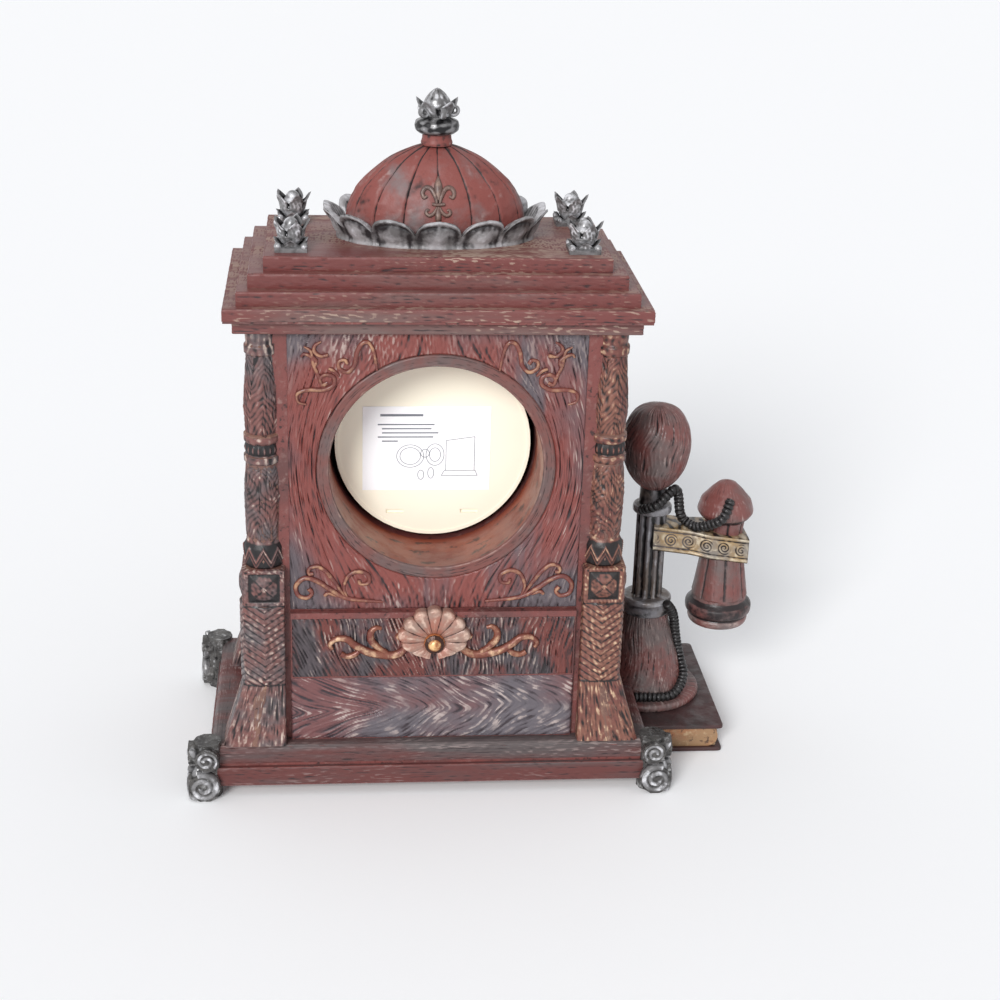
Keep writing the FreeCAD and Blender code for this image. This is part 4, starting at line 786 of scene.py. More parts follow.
drawerScrolls = {
    "face": 39.8, "radius": 1.6,
    "paths": (
        (1.0, ((-40.5, 63.4), (-41.2, 65.7), (-38.5, 68), (-34.5, 67.7), (-31.1, 64.9), (-26.4, 62.2), (-21.6, 61),
               (-15.5, 60.6), (-11.5, 63.4), (-10.1, 67.3), (-12.8, 69.2), (-14.5, 68))),
        (0.85, ((-20.9, 72.3), (-23, 72.7), (-25, 70.8), (-25, 67.3), (-22.3, 64.1), (-18.9, 61.4))),
        (0.7, ((-28.6, 63.6), (-31.6, 60.9), (-34.6, 60.2), (-37, 61.4))),
    ),
}


def scrollSheets(settings, turns):
    # each path as a low tube with thin ends, on both sides of the middle; its ends curl up into small beads
    sheets = []
    for share, points in settings["paths"]:
        flatPath = smoothPath([(u, w, 0) for u, w in points], 0.3)
        radius = settings["radius"] * share * tapered(len(flatPath), 0.55, 1.15, 0.8)
        radius[-6:] *= 1.25
        for mirror in (1, -1):
            u, w = mirror * flatPath[:, 0], flatPath[:, 1]
            out = np.full(len(u), settings["face"])
            for quarter in turns:
                relief = unit(0.92 + 0.1 * ripple(u, w, 8, 7))
                sheets.append(tubeAlong(wallPlace(u, out, w, quarter) / mm, radius, relief=relief))
    return sheets


makePiece("wall_scrollwork", scrollSheets(wallScrolls, (0, 2)), scrollPaint, closed=True)
makePiece("drawer_scrollwork", scrollSheets(drawerScrolls, (0, 2)), giltPaint, closed=True)


shellSkin = {"face": 38.9, "rise": 67.0, "reach": 14.8, "ribs": 13, "sweep": math.radians(330), "height": 4.6,
             "hinge": 2.6, "start": 2.6, "studFoot": 41.6, "studHeight": 4.6}


def scallop(name, quarter, node):
    # ribs fan out from the hinge; each is round across and swells to the waved rim, where the shell turns down
    s = shellSkin
    across = np.linspace(0, 1, s["ribs"] * 26 + 1)[None, :]
    t = np.linspace(0, 1, 46)[:, None]
    angle = quarterTurn + s["sweep"] * (0.5 - across)
    rib = np.abs(np.sin(across * s["ribs"] * math.pi)) ** 0.55
    fan = soft(np.sin(angle), -0.75, -0.05)
    rib = 1 - (1 - rib) * (0.25 + 0.75 * fan)
    reach = s["reach"] * (0.9 + 0.1 * rib) * (0.5 + 0.5 * soft(np.sin(angle), -1, 0.3))
    edge = unit((t - 0.86) / 0.14)
    r = s["start"] + (reach - s["start"]) * np.minimum(t / 0.95, 1)
    bow = s["hinge"] + (s["height"] - s["hinge"]) * np.sin(unit(t / 0.8) * quarterTurn) * (0.7 + 0.3 * rib)
    groove = 1 - rib
    out = s["face"] + bow * np.sqrt(unit(1 - edge ** 2)) - 0.25 * groove * t
    fine = 0.5 + 0.5 * np.cos(across * s["ribs"] * turn * 2)
    relief = unit(0.05 + 0.75 * rib * (0.8 + 0.2 * t) + 0.14 * fine * rib + 0.2 * soft(t, 0.7, 0.84))
    relief = relief * (1 - 0.4 * soft(edge, 0.4, 1))
    points = wallPlace(r * np.cos(angle), out, s["rise"] + r * np.sin(angle), quarter)
    sheet = sheetMesh(points, relief, flip=True)
    makePiece(name, [sheet], shellPaint, hides=(node,), crease=60)


scallop("rear_scallop", 0, "shell_rear")
scallop("front_scallop", 2, "shell_front")


def knobSheets():
    # a round stud on a thin ring, turned about the axis out of the wall
    s = shellSkin
    profile = smoothPath([(3.9, s["studFoot"]), (4.1, 42.9), (3.7, 43.6), (3.0, 43.7), (2.75, 44.2), (2.4, 45.4),
                          (1.3, 46.2), (0.02, 46.45)], 0.25)
    angle = aroundAngles(40)
    radius, out = profile[:, :1], profile[:, 1:2] + 0 * angle
    relief = 0.35 + 0.6 * unit((profile[:, 1:2] - s["studFoot"]) / s["studHeight"]) + 0 * angle
    u, w = radius * np.cos(angle), s["rise"] + radius * np.sin(angle)
    return [sheetMesh(wallPlace(u, out, w, quarter), relief, wrapColumns=True) for quarter in (0, 2)]


makePiece("shell_studs", knobSheets(), knobPaint, closed=True)
nodeMaterial(knobPaint, "shell_knobs")
print("stage: ornament laid on")


roofTop = 221.3
domeSkin = {"halfX": 34.75, "halfY": 18.65, "height": 35.9, "gores": 16, "groove": 0.75, "width": 0.34,
            "rise": (0, 0.306, 0.53, 0.708, 0.855, 0.955, 1), "share": (1, 0.977, 0.876, 0.703, 0.507, 0.288, 0.15)}


def ovalPoints(x, y, w):
    # points round the case's middle, x and y in millimetres as the case frame has them
    return np.stack([midX + x * mm, midY + y * mm, w * mm + 0 * x], axis=-1)


def ovalSheet(x, y, w, relief):
    # such points as a sheet that closes on itself
    return sheetMesh(ovalPoints(x, y, w), relief, wrapColumns=True, flip=True)


def casePath(x, y, w):
    # points in the scene's own millimetres from the same three measures
    return np.stack([x, y, w], axis=-1) + middleAt


def gored(name):
    # an oval dome whose outline is a smooth curve through the profile; thin dark seams part its sixteen gores
    s = domeSkin
    profile = smoothPath(list(zip(s["share"], s["rise"])), 0.011)
    share, rise = profile[:, :1], profile[:, 1:2]
    angle = aroundAngles(512, quarterTurn)
    gore = (angle - quarterTurn) * s["gores"] / turn
    local = s["halfX"] * share * np.hypot(np.sin(angle), np.cos(angle) * s["halfY"] / s["halfX"])
    arc = np.abs(gore - np.round(gore)) / s["gores"] * turn * np.maximum(local, 2)
    seam = hill(arc, s["width"]) * soft(rise, 0.02, 0.05)
    x, y = np.cos(angle), np.sin(angle)
    skin = ripple(angle * 22, rise * 36, 4.5, 101) * 0.5 + ripple(angle * 22, rise * 36, 14, 102)
    swell = 1 - s["groove"] * seam / 19 + 0.0035 * skin * share
    hem = hill(rise * s["height"] - 1.1, 0.7)
    px = s["halfX"] * share * x * swell + 0.5 * hem * x
    py = s["halfY"] * share * y * swell + 0.5 * hem * y
    w = roofTop + rise * s["height"] + 0 * px
    relief = unit(0.62 - 0.6 * seam + 0.1 * skin + 0.35 * hem - 0.15 * soft(rise, 0.9, 1))
    makePiece(name, [ovalSheet(px, py, w, relief)], domePaint, hides=("dome",), crease=60)


gored("gored_dome")


def domePlace(u, w, proud):
    # a point on the dome's rear face, proud of it, at u to the photograph's right and height w
    s = domeSkin
    rise = np.array(s["rise"]) * s["height"] + roofTop
    share = np.interp(w, rise, s["share"])
    y = s["halfY"] * share * np.sqrt(unit(1 - (u / (s["halfX"] * share)) ** 2)) + proud
    return casePath(-u, y, w)


def fleurSheets():
    # a fleur-de-lis laid on the dome: a spear, two leaves that curl out, a band and three points below it
    sheets = []
    for sign in (1, -1):
        for size, points in (
            (0.75, ((0.6, 237.6), (1.0, 240.0), (2.6, 242.9), (4.6, 243.4), (5.9, 241.8), (5.4, 240.0),
                    (4.2, 240.6))),
            (0.6, ((0.5, 236.6), (1.6, 234.6), (3.2, 233.6), (4.5, 234.4), (4.2, 235.6), (3.3, 235.4))),
        ):
            path = smoothPath([(sign * u, w) for u, w in points], 0.25)
            place = domePlace(path[:, 0], path[:, 1], 0.35)
            sheets.append(tubeAlong(place, size * tapered(len(path), 0.7, 1.3, 0.8), 10, (0, 1, 0), 0.9, 0.85))
    for size, points in ((1.5, ((0, 239.2), (0, 243.2), (0, 247.4))), (1.15, ((0, 236.8), (0, 233.4), (0, 229.8)))):
        path = smoothPath(points, 0.25)
        place = domePlace(path[:, 0], path[:, 1], 0.3)
        sheets.append(tubeAlong(place, size * tapered(len(path), 0.25, 1.1, 0.1), 10, (0, 1, 0), 0.8, 0.9))
    band = smoothPath([(-2.3, 237.9), (0, 237.6), (2.3, 237.9)], 0.2)
    place = domePlace(band[:, 0], band[:, 1], 0.9)
    sheets.append(tubeAlong(place, 0.65, 10, (0, 1, 0), 1.0, 0.9))
    return sheets


makePiece("dome_fleur", fleurSheets(), fleurPaint, closed=True)

gallerySkin = {"petals": 14, "baseX": 37.2, "baseY": 20.9, "flare": 6.4, "height": 12.2, "dip": 6.4, "wall": 1.9}


def petalGallery(name):
    # a flared bowl whose edge is cut into pointed arches; each petal has a raised light rim and a round middle;
    # the clefts between the petals and the inside of the bowl carry painted shade
    s = gallerySkin
    angle = aroundAngles(s["petals"] * 42, quarterTurn)
    petal = (angle - quarterTurn) * s["petals"] / turn
    p = (petal - np.round(petal)) * 2
    arch = s["height"] - s["dip"] * (0.35 * np.abs(p) ** 1.4 + 0.65 * np.abs(p) ** 5)
    up, down = 44, 24
    t = np.concatenate([np.linspace(0, 1, up), np.linspace(1, 0.06, down)])[:, None]
    inner = (np.arange(up + down) >= up)[:, None]
    z = arch * t
    spread = s["flare"] * (z / s["height"]) ** 1.25
    fromTop = (1 - t) * arch
    sideGap = (1 - np.abs(p)) * 8.2
    fromEdge = np.minimum(fromTop, sideGap + 0.9)
    rim = hill(fromEdge - 0.95, 0.75)
    groove = hill(fromEdge - 2.5, 0.6)
    belly = np.exp(-((p / 0.5) ** 2 + ((t - 0.36) / 0.3) ** 2))
    # painted shade in the clefts between the petals
    between = hill(1 - np.abs(p), 0.09)
    lift = np.where(inner, -s["wall"], 0.75 * rim - 0.35 * groove + 1.1 * belly - 0.9 * between)
    lift = lift * np.where(inner, soft(fromTop, 0, 0.8), 1)
    foot = hill(z, 1.3) * ~inner
    grow = spread + lift + 1.0 * foot
    x = (s["baseX"] + grow) * np.cos(angle)
    y = (s["baseY"] + grow) * np.sin(angle)
    veins = 0.5 + 0.5 * np.cos(p * 22)
    outside = unit(0.16 + 0.5 * rim + 0.6 * belly + 0.1 * veins + 0.06 * ripple(x, y + z, 9, 55) - 0.3 * between
                   - 0.1 * groove + 0.3 * foot)
    # painted shade: the inside of the bowl is dark, lighter only near the top
    inside = unit(0.25 + 0.5 * soft(1.6 - fromTop, 0, 1) + 0.2 * veins)
    relief = np.where(inner, inside, outside)
    makePiece(name, [ovalSheet(x, y, roofTop + z, relief)], pewterPaint,
              hides=("petal_gallery",), crease=60)


petalGallery("gallery_petals")


def turnedSheet(profile, centreX, centreY, sides, carve, step=0.3, passes=1):
    # a profile of (radius, height) turned about an upright axis in the case frame; carve gives lift and relief
    rows = roundedProfile(profile, step, passes)
    angle = aroundAngles(sides)
    radius, w = rows[:, :1] + 0 * angle, rows[:, 1:2] + 0 * angle
    lift, relief = carve(angle + 0 * w, w, radius)
    radius = np.maximum(radius + lift, 0.01)
    x, y = centreX + radius * np.cos(angle), centreY + radius * np.sin(angle)
    return ovalSheet(x, y, w, unit(relief))


def smoothCarve(level=0.7, vary=0.12, size=3.0, seed=5):
    # an uncarved surface whose paint is a little uneven
    def carve(angle, w, radius):
        return 0 * w, level + vary * ripple(angle * 5, w, size, seed)
    return carve


def crownSheet(x, y, petals, low, high, notch, foot, top, turned=0.0, wall=0.9):
    # an open cup cut into pointed petals: up the outside, over the edge and down the inside to a floor;
    # the inside, the floor and the clefts between the petals carry painted shade
    angle = aroundAngles(petals * 20)
    p = zigzag(angle / turn * petals + turned + 10.5)
    up, down = 26, 14
    t = np.concatenate([np.linspace(0, 1, up), np.linspace(1, 0.4, down)])[:, None]
    inner = (np.arange(up + down) >= up)[:, None]
    w = low + t * (high - low - notch * p ** 1.1)
    swell = foot + (top - foot) * np.sin(unit(t) * 1.9) ** 0.9 + 1.1 * soft(t, 0.6, 1) * (1 - p)
    # painted shade in the clefts between the petals
    gap = hill(1 - p, 0.18) * soft(t, 0.1, 0.5)
    radius = swell + 0.9 * (1 - p ** 2) * t - 0.8 * gap - wall * inner * soft(1 - t, 0, 0.1)
    radius = np.where((t < 0.41) & inner, 0.05, radius)
    rim = hill(1 - t, 0.1)
    outside = 0.5 + 0.3 * (1 - p ** 2) - 0.55 * gap + 0.35 * rim + 0.12 * ripple(angle * 5, w, 1.8, 31)
    # painted shade: the inside of the cup is dark, lighter only near its rim
    relief = np.where(inner, 0.16 + 0.6 * rim, outside)
    return ovalSheet(x + radius * np.cos(angle), y + radius * np.sin(angle), w, unit(relief))


def beadSheet(x, y, w, radius):
    # a small ball
    up = np.linspace(-quarterTurn, quarterTurn, 12)[:, None]
    angle = aroundAngles(16)
    across = np.maximum(radius * np.cos(up), 0.01)
    w = w + radius * np.sin(up) + 0 * angle
    return ovalSheet(x + across * np.cos(angle), y + across * np.sin(angle), w, 0.85)


# profiles of (radius, height); the curls are spirals of so many radians about a point that far out
finialSkin = {"collar": ((5.9, 256.9), (6.1, 257.8), (5.6, 259.0), (5.5, 260.6), (5.6, 261.2), (4.6, 261.4)),
              "cup": ((4.2, 261.0), (6.6, 261.2), (8.2, 262.4), (8.55, 264.2), (8.1, 265.8), (6.2, 266.7),
                      (5.2, 267.1), (5.0, 267.9), (5.2, 268.4)),
              "bud": ((4.2, 268.4), (5.2, 270.0), (5.4, 272.0), (4.5, 274.2), (2.9, 276.2), (1.2, 277.6),
                      (0.01, 278.1)),
              "leaves": 5, "leafLow": 267.2, "leafHigh": 274.4,
              "curlOut": 6.3, "curlRise": 269.9, "curlRadius": 2.0, "curlTurn": 7.2, "curlStart": 2.2, "tube": 0.85}


def finialSheets():
    # a collar; on it a round cup, five leaves and a bud, and between the leaves five curls of a thinning tube
    s = finialSkin
    silver = [turnedSheet(s["cup"], 0, 0, 96, smoothCarve(0.34, 0.2)),
              crownSheet(0, 0, s["leaves"], s["leafLow"], s["leafHigh"], notch=3.6, foot=4.6, top=6.4, turned=0.25),
              turnedSheet(s["bud"], 0, 0, 96, smoothCarve(0.74, 0.16))]
    t = np.linspace(0, 1, 40)
    curl = t * s["curlTurn"] - s["curlStart"]
    spiral = s["curlRadius"] * (1 - 0.75 * t)
    outward = s["curlOut"] + spiral * np.cos(curl)
    w = s["curlRise"] + spiral * np.sin(curl)
    for k in range(s["leaves"]):
        a = k * turn / s["leaves"] + 0.6
        path = casePath(outward * np.cos(a), outward * np.sin(a), w)
        silver.append(tubeAlong(path, s["tube"] * (1 - 0.3 * t), 8, (-math.sin(a), math.cos(a), 0), 1.5, 0.9))
    return [turnedSheet(s["collar"], 0, 0, 48, smoothCarve(0.5))], silver


collarSheets, budSheets = finialSheets()
makePiece("finial_collar", collarSheets, domePaint)
makePiece("finial_bud", budSheets, silverPaint, hides=("dome_finial",))


lotusSkin = {"x": 55.0, "y": 22.0, "half": 6.0, "beadOut": 4.9, "bead": 1.35, "bud": 4.7, "eye": 2.7}


def lotusSheets(x, y):
    # a square foot with beads on its corners, a low row of leaves, a round bud and an open crown on it
    s = lotusSkin
    half, base, share = s["half"], roofTop, (np.arange(8) / 8)[:, None]
    ring = []
    for w, h in ((base, half), (base + 1.7, half), (base + 2.1, half - 0.5), (base + 2.2, 2.0)):
        corner = np.array([(h, h), (-h, h), (-h, -h), (h, -h)])
        points = np.concatenate([corner[k] * (1 - share) + corner[(k + 1) % 4] * share for k in range(4)])
        ring.append(ovalPoints(x + points[:, 0], y + points[:, 1], np.full(32, w)))
    sheets = [sheetMesh(np.array(ring), 0.55, wrapColumns=True, flip=True)]
    for signX in (-1, 1):
        for signY in (-1, 1):
            sheets.append(beadSheet(x + signX * s["beadOut"], y + signY * s["beadOut"], base + 2.3, s["bead"]))
    sheets.append(crownSheet(x, y, 4, base + 1.6, base + 5.0, notch=3.6, foot=4.9, top=4.6))
    sheets.append(beadSheet(x, y, base + 5.9, s["bud"]))
    sheets.append(crownSheet(x, y, 5, base + 5.2, base + 12.0, notch=4.2, foot=5.0, top=5.3, turned=0.5))
    sheets.append(beadSheet(x, y, base + 9.6, s["eye"]))
    return sheets


lotusAll = []
for signX in (-1, 1):
    for signY in (-1, 1):
        lotusAll += lotusSheets(signX * lotusSkin["x"], signY * lotusSkin["y"])
makePiece("lotus_blooms", lotusAll, silverPaint, hides=("lotus_finials",))
print("stage: roof ornament")


clawSkin = {"x": 90.5, "rear": 41.4, "front": -53.9, "low": 6.2, "lowRadius": 5.6, "high": 18.4, "highRadius": 4.2,
            "depth": 5.9, "tube": 1.75, "leafLow": 1.6, "leafHeight": 21.5}


def clawSheets(x, y, signX, signY):
    # two volutes on each outer face: spirals of a tube that thins toward its eye; a leaf stands at the corner
    s = clawSkin
    sheets = []
    for axis in (0, 1):
        for rise, size, spin, shift in ((s["low"], s["lowRadius"], 1, 1.6), (s["high"], s["highRadius"], -1, 0.2)):
            t = np.linspace(0, 1, 90)
            a = spin * (t * 11.5 + 1.2)
            rr = size * (1 - 0.86 * t) + 0.3
            along = shift + rr * np.cos(a)
            w = rise + rr * np.sin(a)
            depth = s["depth"] + 1.5 * t
            tube = s["tube"] * size / s["lowRadius"] * (1 - 0.45 * t)
            w = np.maximum(w, tube + 0.05)
            if axis == 0:
                px, py, flatAxis = x + signX * along, y + signY * depth, (0, 1, 0)
            else:
                px, py, flatAxis = x + signX * depth, y + signY * along, (1, 0, 0)
            path = casePath(px, py, w)
            sheets.append(tubeAlong(path, tube, 10, flatAxis, 1.3, 0.85 - 0.2 * np.sin(t * 30)))
    t = np.linspace(0, 1, 60)
    outward = 0.72 * (6.6 + 1.6 * np.sin(t * math.pi * 2.2 + 0.5))
    w = s["leafLow"] + s["leafHeight"] * t
    path = casePath(x + signX * outward, y + signY * outward, w)
    sheets.append(tubeAlong(path, 2.3 - 1.2 * t + 0.5 * np.cos(t * 14), 12, (signX * 0.7, signY * 0.7, 0), 0.8,
                            0.7 + 0.25 * np.cos(t * 26)))
    return sheets


for place, signX, signY in (("rear_right", 1, 1), ("rear_left", -1, 1), ("front_right", 1, -1)):
    y = clawSkin["rear"] if signY > 0 else clawSkin["front"]
    makePiece(f"{place}_volutes", clawSheets(signX * clawSkin["x"], y, signX, signY), silverPaint,
              closed=True)
clawPlain = agedPaint("clawPlain", "5c5a58 3c3a3a 1e1c1c c4c4c4", roughness=0.36, metallic=0.5, patch=140,
                      carved=False, brushed=0.9)
nodeMaterial(clawPlain, "foot_rear_right", "foot_rear_left", "foot_front_right", "foot_front_left")
print("stage: feet")


bookSkin = {"inner": -90.6, "outer": -126.15, "front": -63.05, "rear": 15.55, "height": 12.5, "board": 1.7,
            "inset": 1.8}


def bookSheets():
    # the cover as a rounded board over and under, and the pages between as a sheet ribbed along the book
    s = bookSkin
    outline = roundedProfile([(s["inner"], s["rear"]), (s["outer"] + 0.8, s["rear"]), (s["outer"], s["rear"] - 0.8),
                              (s["outer"], s["front"] + 0.8), (s["outer"] + 0.8, s["front"]),
                              (s["inner"], s["front"])], 0.7, 2)
    centre = np.array([s["inner"], outline.mean(axis=0)[1]])
    direction = outline - centre
    reach = np.linalg.norm(direction, axis=1, keepdims=True)
    covers = []
    for lowEnd, highEnd in ((0.02, s["board"]), (s["height"] - s["board"], s["height"] + 0.04)):
        rows = []
        for inset, w in ((30.0, lowEnd), (0.35, lowEnd), (0.0, lowEnd + 0.3), (0.0, highEnd - 0.35), (0.4, highEnd),
                         (4.0, highEnd), (12.0, highEnd), (30.0, highEnd)):
            ring = centre + direction * np.maximum(1 - inset / reach, 0.02)
            wave = 0.12 * ripple(ring[:, 0], ring[:, 1], 9, 131) if inset > 1 and w > 6 else 0
            rows.append(ovalPoints(ring[:, 0], ring[:, 1], np.full(len(ring), w) + wave))
        covers.append(sheetMesh(np.array(rows), 0.62, flip=True))
    return covers


def pageSheet():
    # the pages' edges: wavy layers round three sides, hollow in the middle of their height
    s = bookSkin
    x0, y0 = s["outer"] + s["inset"], s["rear"] - s["inset"]
    y1 = s["front"] + s["inset"]
    corners = np.array([(s["inner"], y0), (x0, y0), (x0, y1), (s["inner"], y1)])
    path = roundedProfile(corners, 0.45, 3)
    normal = np.stack([np.gradient(path[:, 1]), -np.gradient(path[:, 0])], axis=-1)
    normal /= np.maximum(np.linalg.norm(normal, axis=1, keepdims=True), 1e-9)
    normal = -normal
    w = np.linspace(s["board"] - 0.1, s["height"] - s["board"] + 0.1, 46)[:, None]
    run = np.arange(len(path))[None, :] * 0.45
    layer = 0.5 + 0.5 * np.cos(w * turn / 0.85 + 1.6 * ripple(run / 5, w, 7, 133))
    hollow = -0.55 * np.cos((w - s["height"] / 2) / (s["height"] / 2 - s["board"]) * quarterTurn)
    lift = 0.35 * layer + hollow * 0.9 + 0.5
    x = path[None, :, 0] + normal[None, :, 0] * lift
    y = path[None, :, 1] + normal[None, :, 1] * lift
    relief = unit(0.25 + 0.6 * layer + 0.15 * ripple(run, w * 3, 12, 134))
    return sheetMesh(ovalPoints(x, y, w + 0 * x), relief, flip=True)


makePiece("book_boards", bookSheets(), bookPaint, hides=("book_cover",))
makePiece("book_leaves", [pageSheet()], pagePaint)
nodeMaterial(agedPaint("pagePlain", "967656 a8704c 4e382c ceba96", patch=60, carved=False), "book_pages")


phoneSkin = {"x": -96.0, "y": -21.0, "book": 12.5, "rim": 3.2, "bell": 35.0, "collar": 7.4, "stem": 39.0,
             "neck": 11.4, "egg": 37.0, "eggRadius": 14.25}


def grainCarve(seed, pitch, depth, scale):
    # upright wood grain engraved round a turned piece
    def carve(angle, w, radius):
        value = woodGrain(w, angle * scale + 0.8 * np.sin(w / 9 + seed), pitch, seed, wander=0.48, length=16)
        return depth * (value - 0.5), value
    return carve


def banded(*parts):
    # heights and the carvings between them, in turn, from the bottom up
    def carve(angle, w, radius):
        lift, relief = 0 * w, 0.6 + 0 * w
        for start, part, end in zip(parts[::2], parts[1::2], parts[2::2]):
            live = window(w, start - 0.25, start + 0.25, end - 0.25, end + 0.25)
            partLift, partRelief = part(angle, w, radius)
            lift = lift * (1 - live) + partLift * live
            relief = relief * (1 - live) + partRelief * live
        return lift, relief
    return carve


def flatCarve(level):
    # no carving, one shade
    def carve(angle, w, radius):
        return 0 * w, level + 0 * w
    return carve


def panelled(count, seed, depth=0.5):
    # upright panels parted by dark seams, as on a faceted trumpet
    def carve(angle, w, radius):
        p = zigzag(angle / turn * count + 10.25)
        seam = hill((1 - p) * radius * math.pi / count, 0.45)
        grain = woodGrain(w, angle * 11, 2.6, seed, wander=0.3, length=26)
        return 0.3 * (grain - 0.5) + depth * (1 - p ** 2) - depth * seam, unit(0.35 + 0.4 * grain - 0.6 * seam)
    return carve


phoneX, phoneY, top = phoneSkin["x"], phoneSkin["y"], phoneSkin["book"]
baseRows = [(r, top + w) for r, w in (
    (0.5, 0.02), (24.4, 0.02), (25.05, 0.7), (25.05, 2.2), (24.3, 3.25), (21.5, 3.45), (20.4, 3.5), (20.2, 4.2),
    (19.1, 4.6), (19.05, 5.2), (18.5, 6.3), (16.1, 13.7), (12.8, 24.9), (10.1, 33.7), (9.3, 38.15))]
bellCarve = banded(10, grainCarve(141, 2.2, 0.3, 18), top + 4.1, flatCarve(0.25), top + 5.4,
                   grainCarve(143, 2.1, 0.55, 13), 60)
bellSheet = turnedSheet(baseRows, phoneX, phoneY, 240, bellCarve, step=0.45)
makePiece("telephone_bell", [bellSheet], phonePaint, hides=("telephone_base",))
collarLow = top + phoneSkin["rim"] + phoneSkin["bell"]
stemRows = [(r, collarLow + w) for r, w in (
    (9.2, -0.3), (10.3, 0), (10.5, 0.9), (10.1, 1.6), (10.2, 4.8), (10.7, 5.6), (10.6, 7.0), (9.6, 7.5), (6.6, 7.6),
    (6.1, 8.2), (6.05, 44.0), (6.1, 46.2), (8.1, 46.5), (8.4, 47.4), (8.3, 49.2), (7.7, 49.9), (5.8, 50.1),
    (5.6, 61.4))]


def fluted(angle, w, radius):
    # ten round flutes
    wave = np.cos(angle * 10)
    return 0.45 * wave, unit(0.42 + 0.42 * wave + 0.1 * ripple(angle * 8, w, 6, 151))


columnCarve = banded(0, smoothCarve(0.45, 0.12, 4, 152), collarLow + 5.3, flatCarve(0.95), collarLow + 7.6, fluted,
                     collarLow + 46.3, flatCarve(0.95), collarLow + 50.0, smoothCarve(0.3, 0.1, 4, 153), 200)
stemSheet = turnedSheet(stemRows, phoneX, phoneY, 150, columnCarve, step=0.4)
makePiece("telephone_column", [stemSheet], stemPaint, hides=("telephone_stem",))

eggLow = collarLow + phoneSkin["collar"] + phoneSkin["stem"] + phoneSkin["neck"]
eggShares = ((0.4, 0), (0.66, 0.1), (0.88, 0.25), (0.99, 0.42), (1, 0.58), (0.9, 0.76), (0.63, 0.92), (0.24, 0.985),
             (0.004, 1))


def eggCarve(angle, w, radius):
    # engraved wavy strands that run from the bottom to the crown and gather there
    t = (w - eggLow) / phoneSkin["egg"]
    across = angle * 14.2 + 2.2 * np.sin(t * 4.2 + 0.5) + 0.6 * ripple(angle * 9, w, 16, 161)
    value = woodGrain(w, across, 2.9, 162, wander=0.3, length=34)
    return 0.6 * (value - 0.55) * soft(radius, 1, 4), unit(value * 0.94)


eggRows = smoothPath([(r * phoneSkin["eggRadius"], eggLow + h * phoneSkin["egg"]) for r, h in eggShares], 0.4)
eggSheet = turnedSheet(eggRows, phoneX, phoneY, 220, eggCarve, step=0.4)
makePiece("transmitter_egg", [eggSheet], phonePaint, hides=("transmitter_shell",))
nodeMaterial(stemPlain, "mouthpiece")

armSkin = {"from": -96.0, "to": -136.9, "low": 81.9, "drop": 5.6, "height": 11.0, "y": -21.0, "half": 7.4,
           "length": 41.0, "wider": 2.4}


def armSheets():
    # a bar whose long faces carry a row of spirals between two dark lines and a frame, with its top, foot and end
    s = armSkin
    t = np.linspace(0, 1, 150)[None, :]
    h = np.linspace(0, 1, 48)[:, None]
    wider = s["wider"] * soft(t, 0.35, 0.62)
    x = s["from"] + (s["to"] - s["from"]) * t
    lowEnd = s["low"] - s["drop"] * t
    sheets = []
    w = lowEnd + s["height"] * h
    run = t * s["length"]
    level = (h - 0.5) * s["height"]
    frameLine = hill(np.abs(level) - 4.7, 0.55)
    darkLine = hill(np.abs(level) - 3.55, 0.38)
    # the spirals stand one pitch apart and every second one is upside down
    pitch, gap = 7.6, 1.25
    turnX = np.modf(run / pitch + 0.5)[0] * pitch - pitch / 2
    rise = level * np.where(np.modf(run / (2 * pitch) + 0.25)[0] < 0.5, 1, -1)
    spiral = np.abs(np.modf(np.hypot(turnX, rise - 0.2) / gap - np.arctan2(rise, turnX) / turn + 5)[0] - 0.5) * gap
    scroll = hill(spiral, 0.3) * soft(3.2 - np.hypot(turnX, rise), 0, 0.5)
    live = window(run, 1, 2.2, 38.6, 39.8)
    relief = unit(0.84 + 0.1 * ripple(run, level, 3, 171) + 0.2 * frameLine - 0.7 * darkLine - 0.78 * scroll * live)
    out = s["half"] + wider + 0.12 + 0.45 * frameLine - 0.25 * darkLine - 0.25 * scroll * live
    out = np.where((h <= 0) | (h >= 1), s["half"] - 0.6, out)
    for side in (1, -1):
        sheets.append(sheetMesh(ovalPoints(x + 0 * w, s["y"] + side * out, w), relief, flip=side > 0))
    v = np.linspace(-1, 1, 40)[:, None]
    bow = 0.35 * (1 - v ** 8)
    relief = unit(0.55 + 0.3 * ripple(run, v * 7, 5, 172))
    y = s["y"] + v * (s["half"] + 0.4 + wider)
    for side in (1, -1):
        edge = lowEnd + (s["height"] if side > 0 else 0)
        sheets.append(sheetMesh(ovalPoints(x + 0 * v, y, edge + side * bow), relief, flip=side < 0))
    endW = np.linspace(0, 1, 30)[None, :] * s["height"] + s["low"] - s["drop"]
    endOut = 0.5 * (1 - v ** 6) * (1 - (np.linspace(-1, 1, 30)[None, :]) ** 6)
    endY = s["y"] + v * (s["half"] + 2.8) + 0 * endW
    sheets.append(sheetMesh(ovalPoints(s["to"] - endOut, endY, endW + 0 * v), 0.6))
    return sheets


makePiece("arm_band", armSheets(), bandPaint, crease=50)
nodeMaterial(stemPlain, "receiver_arm")

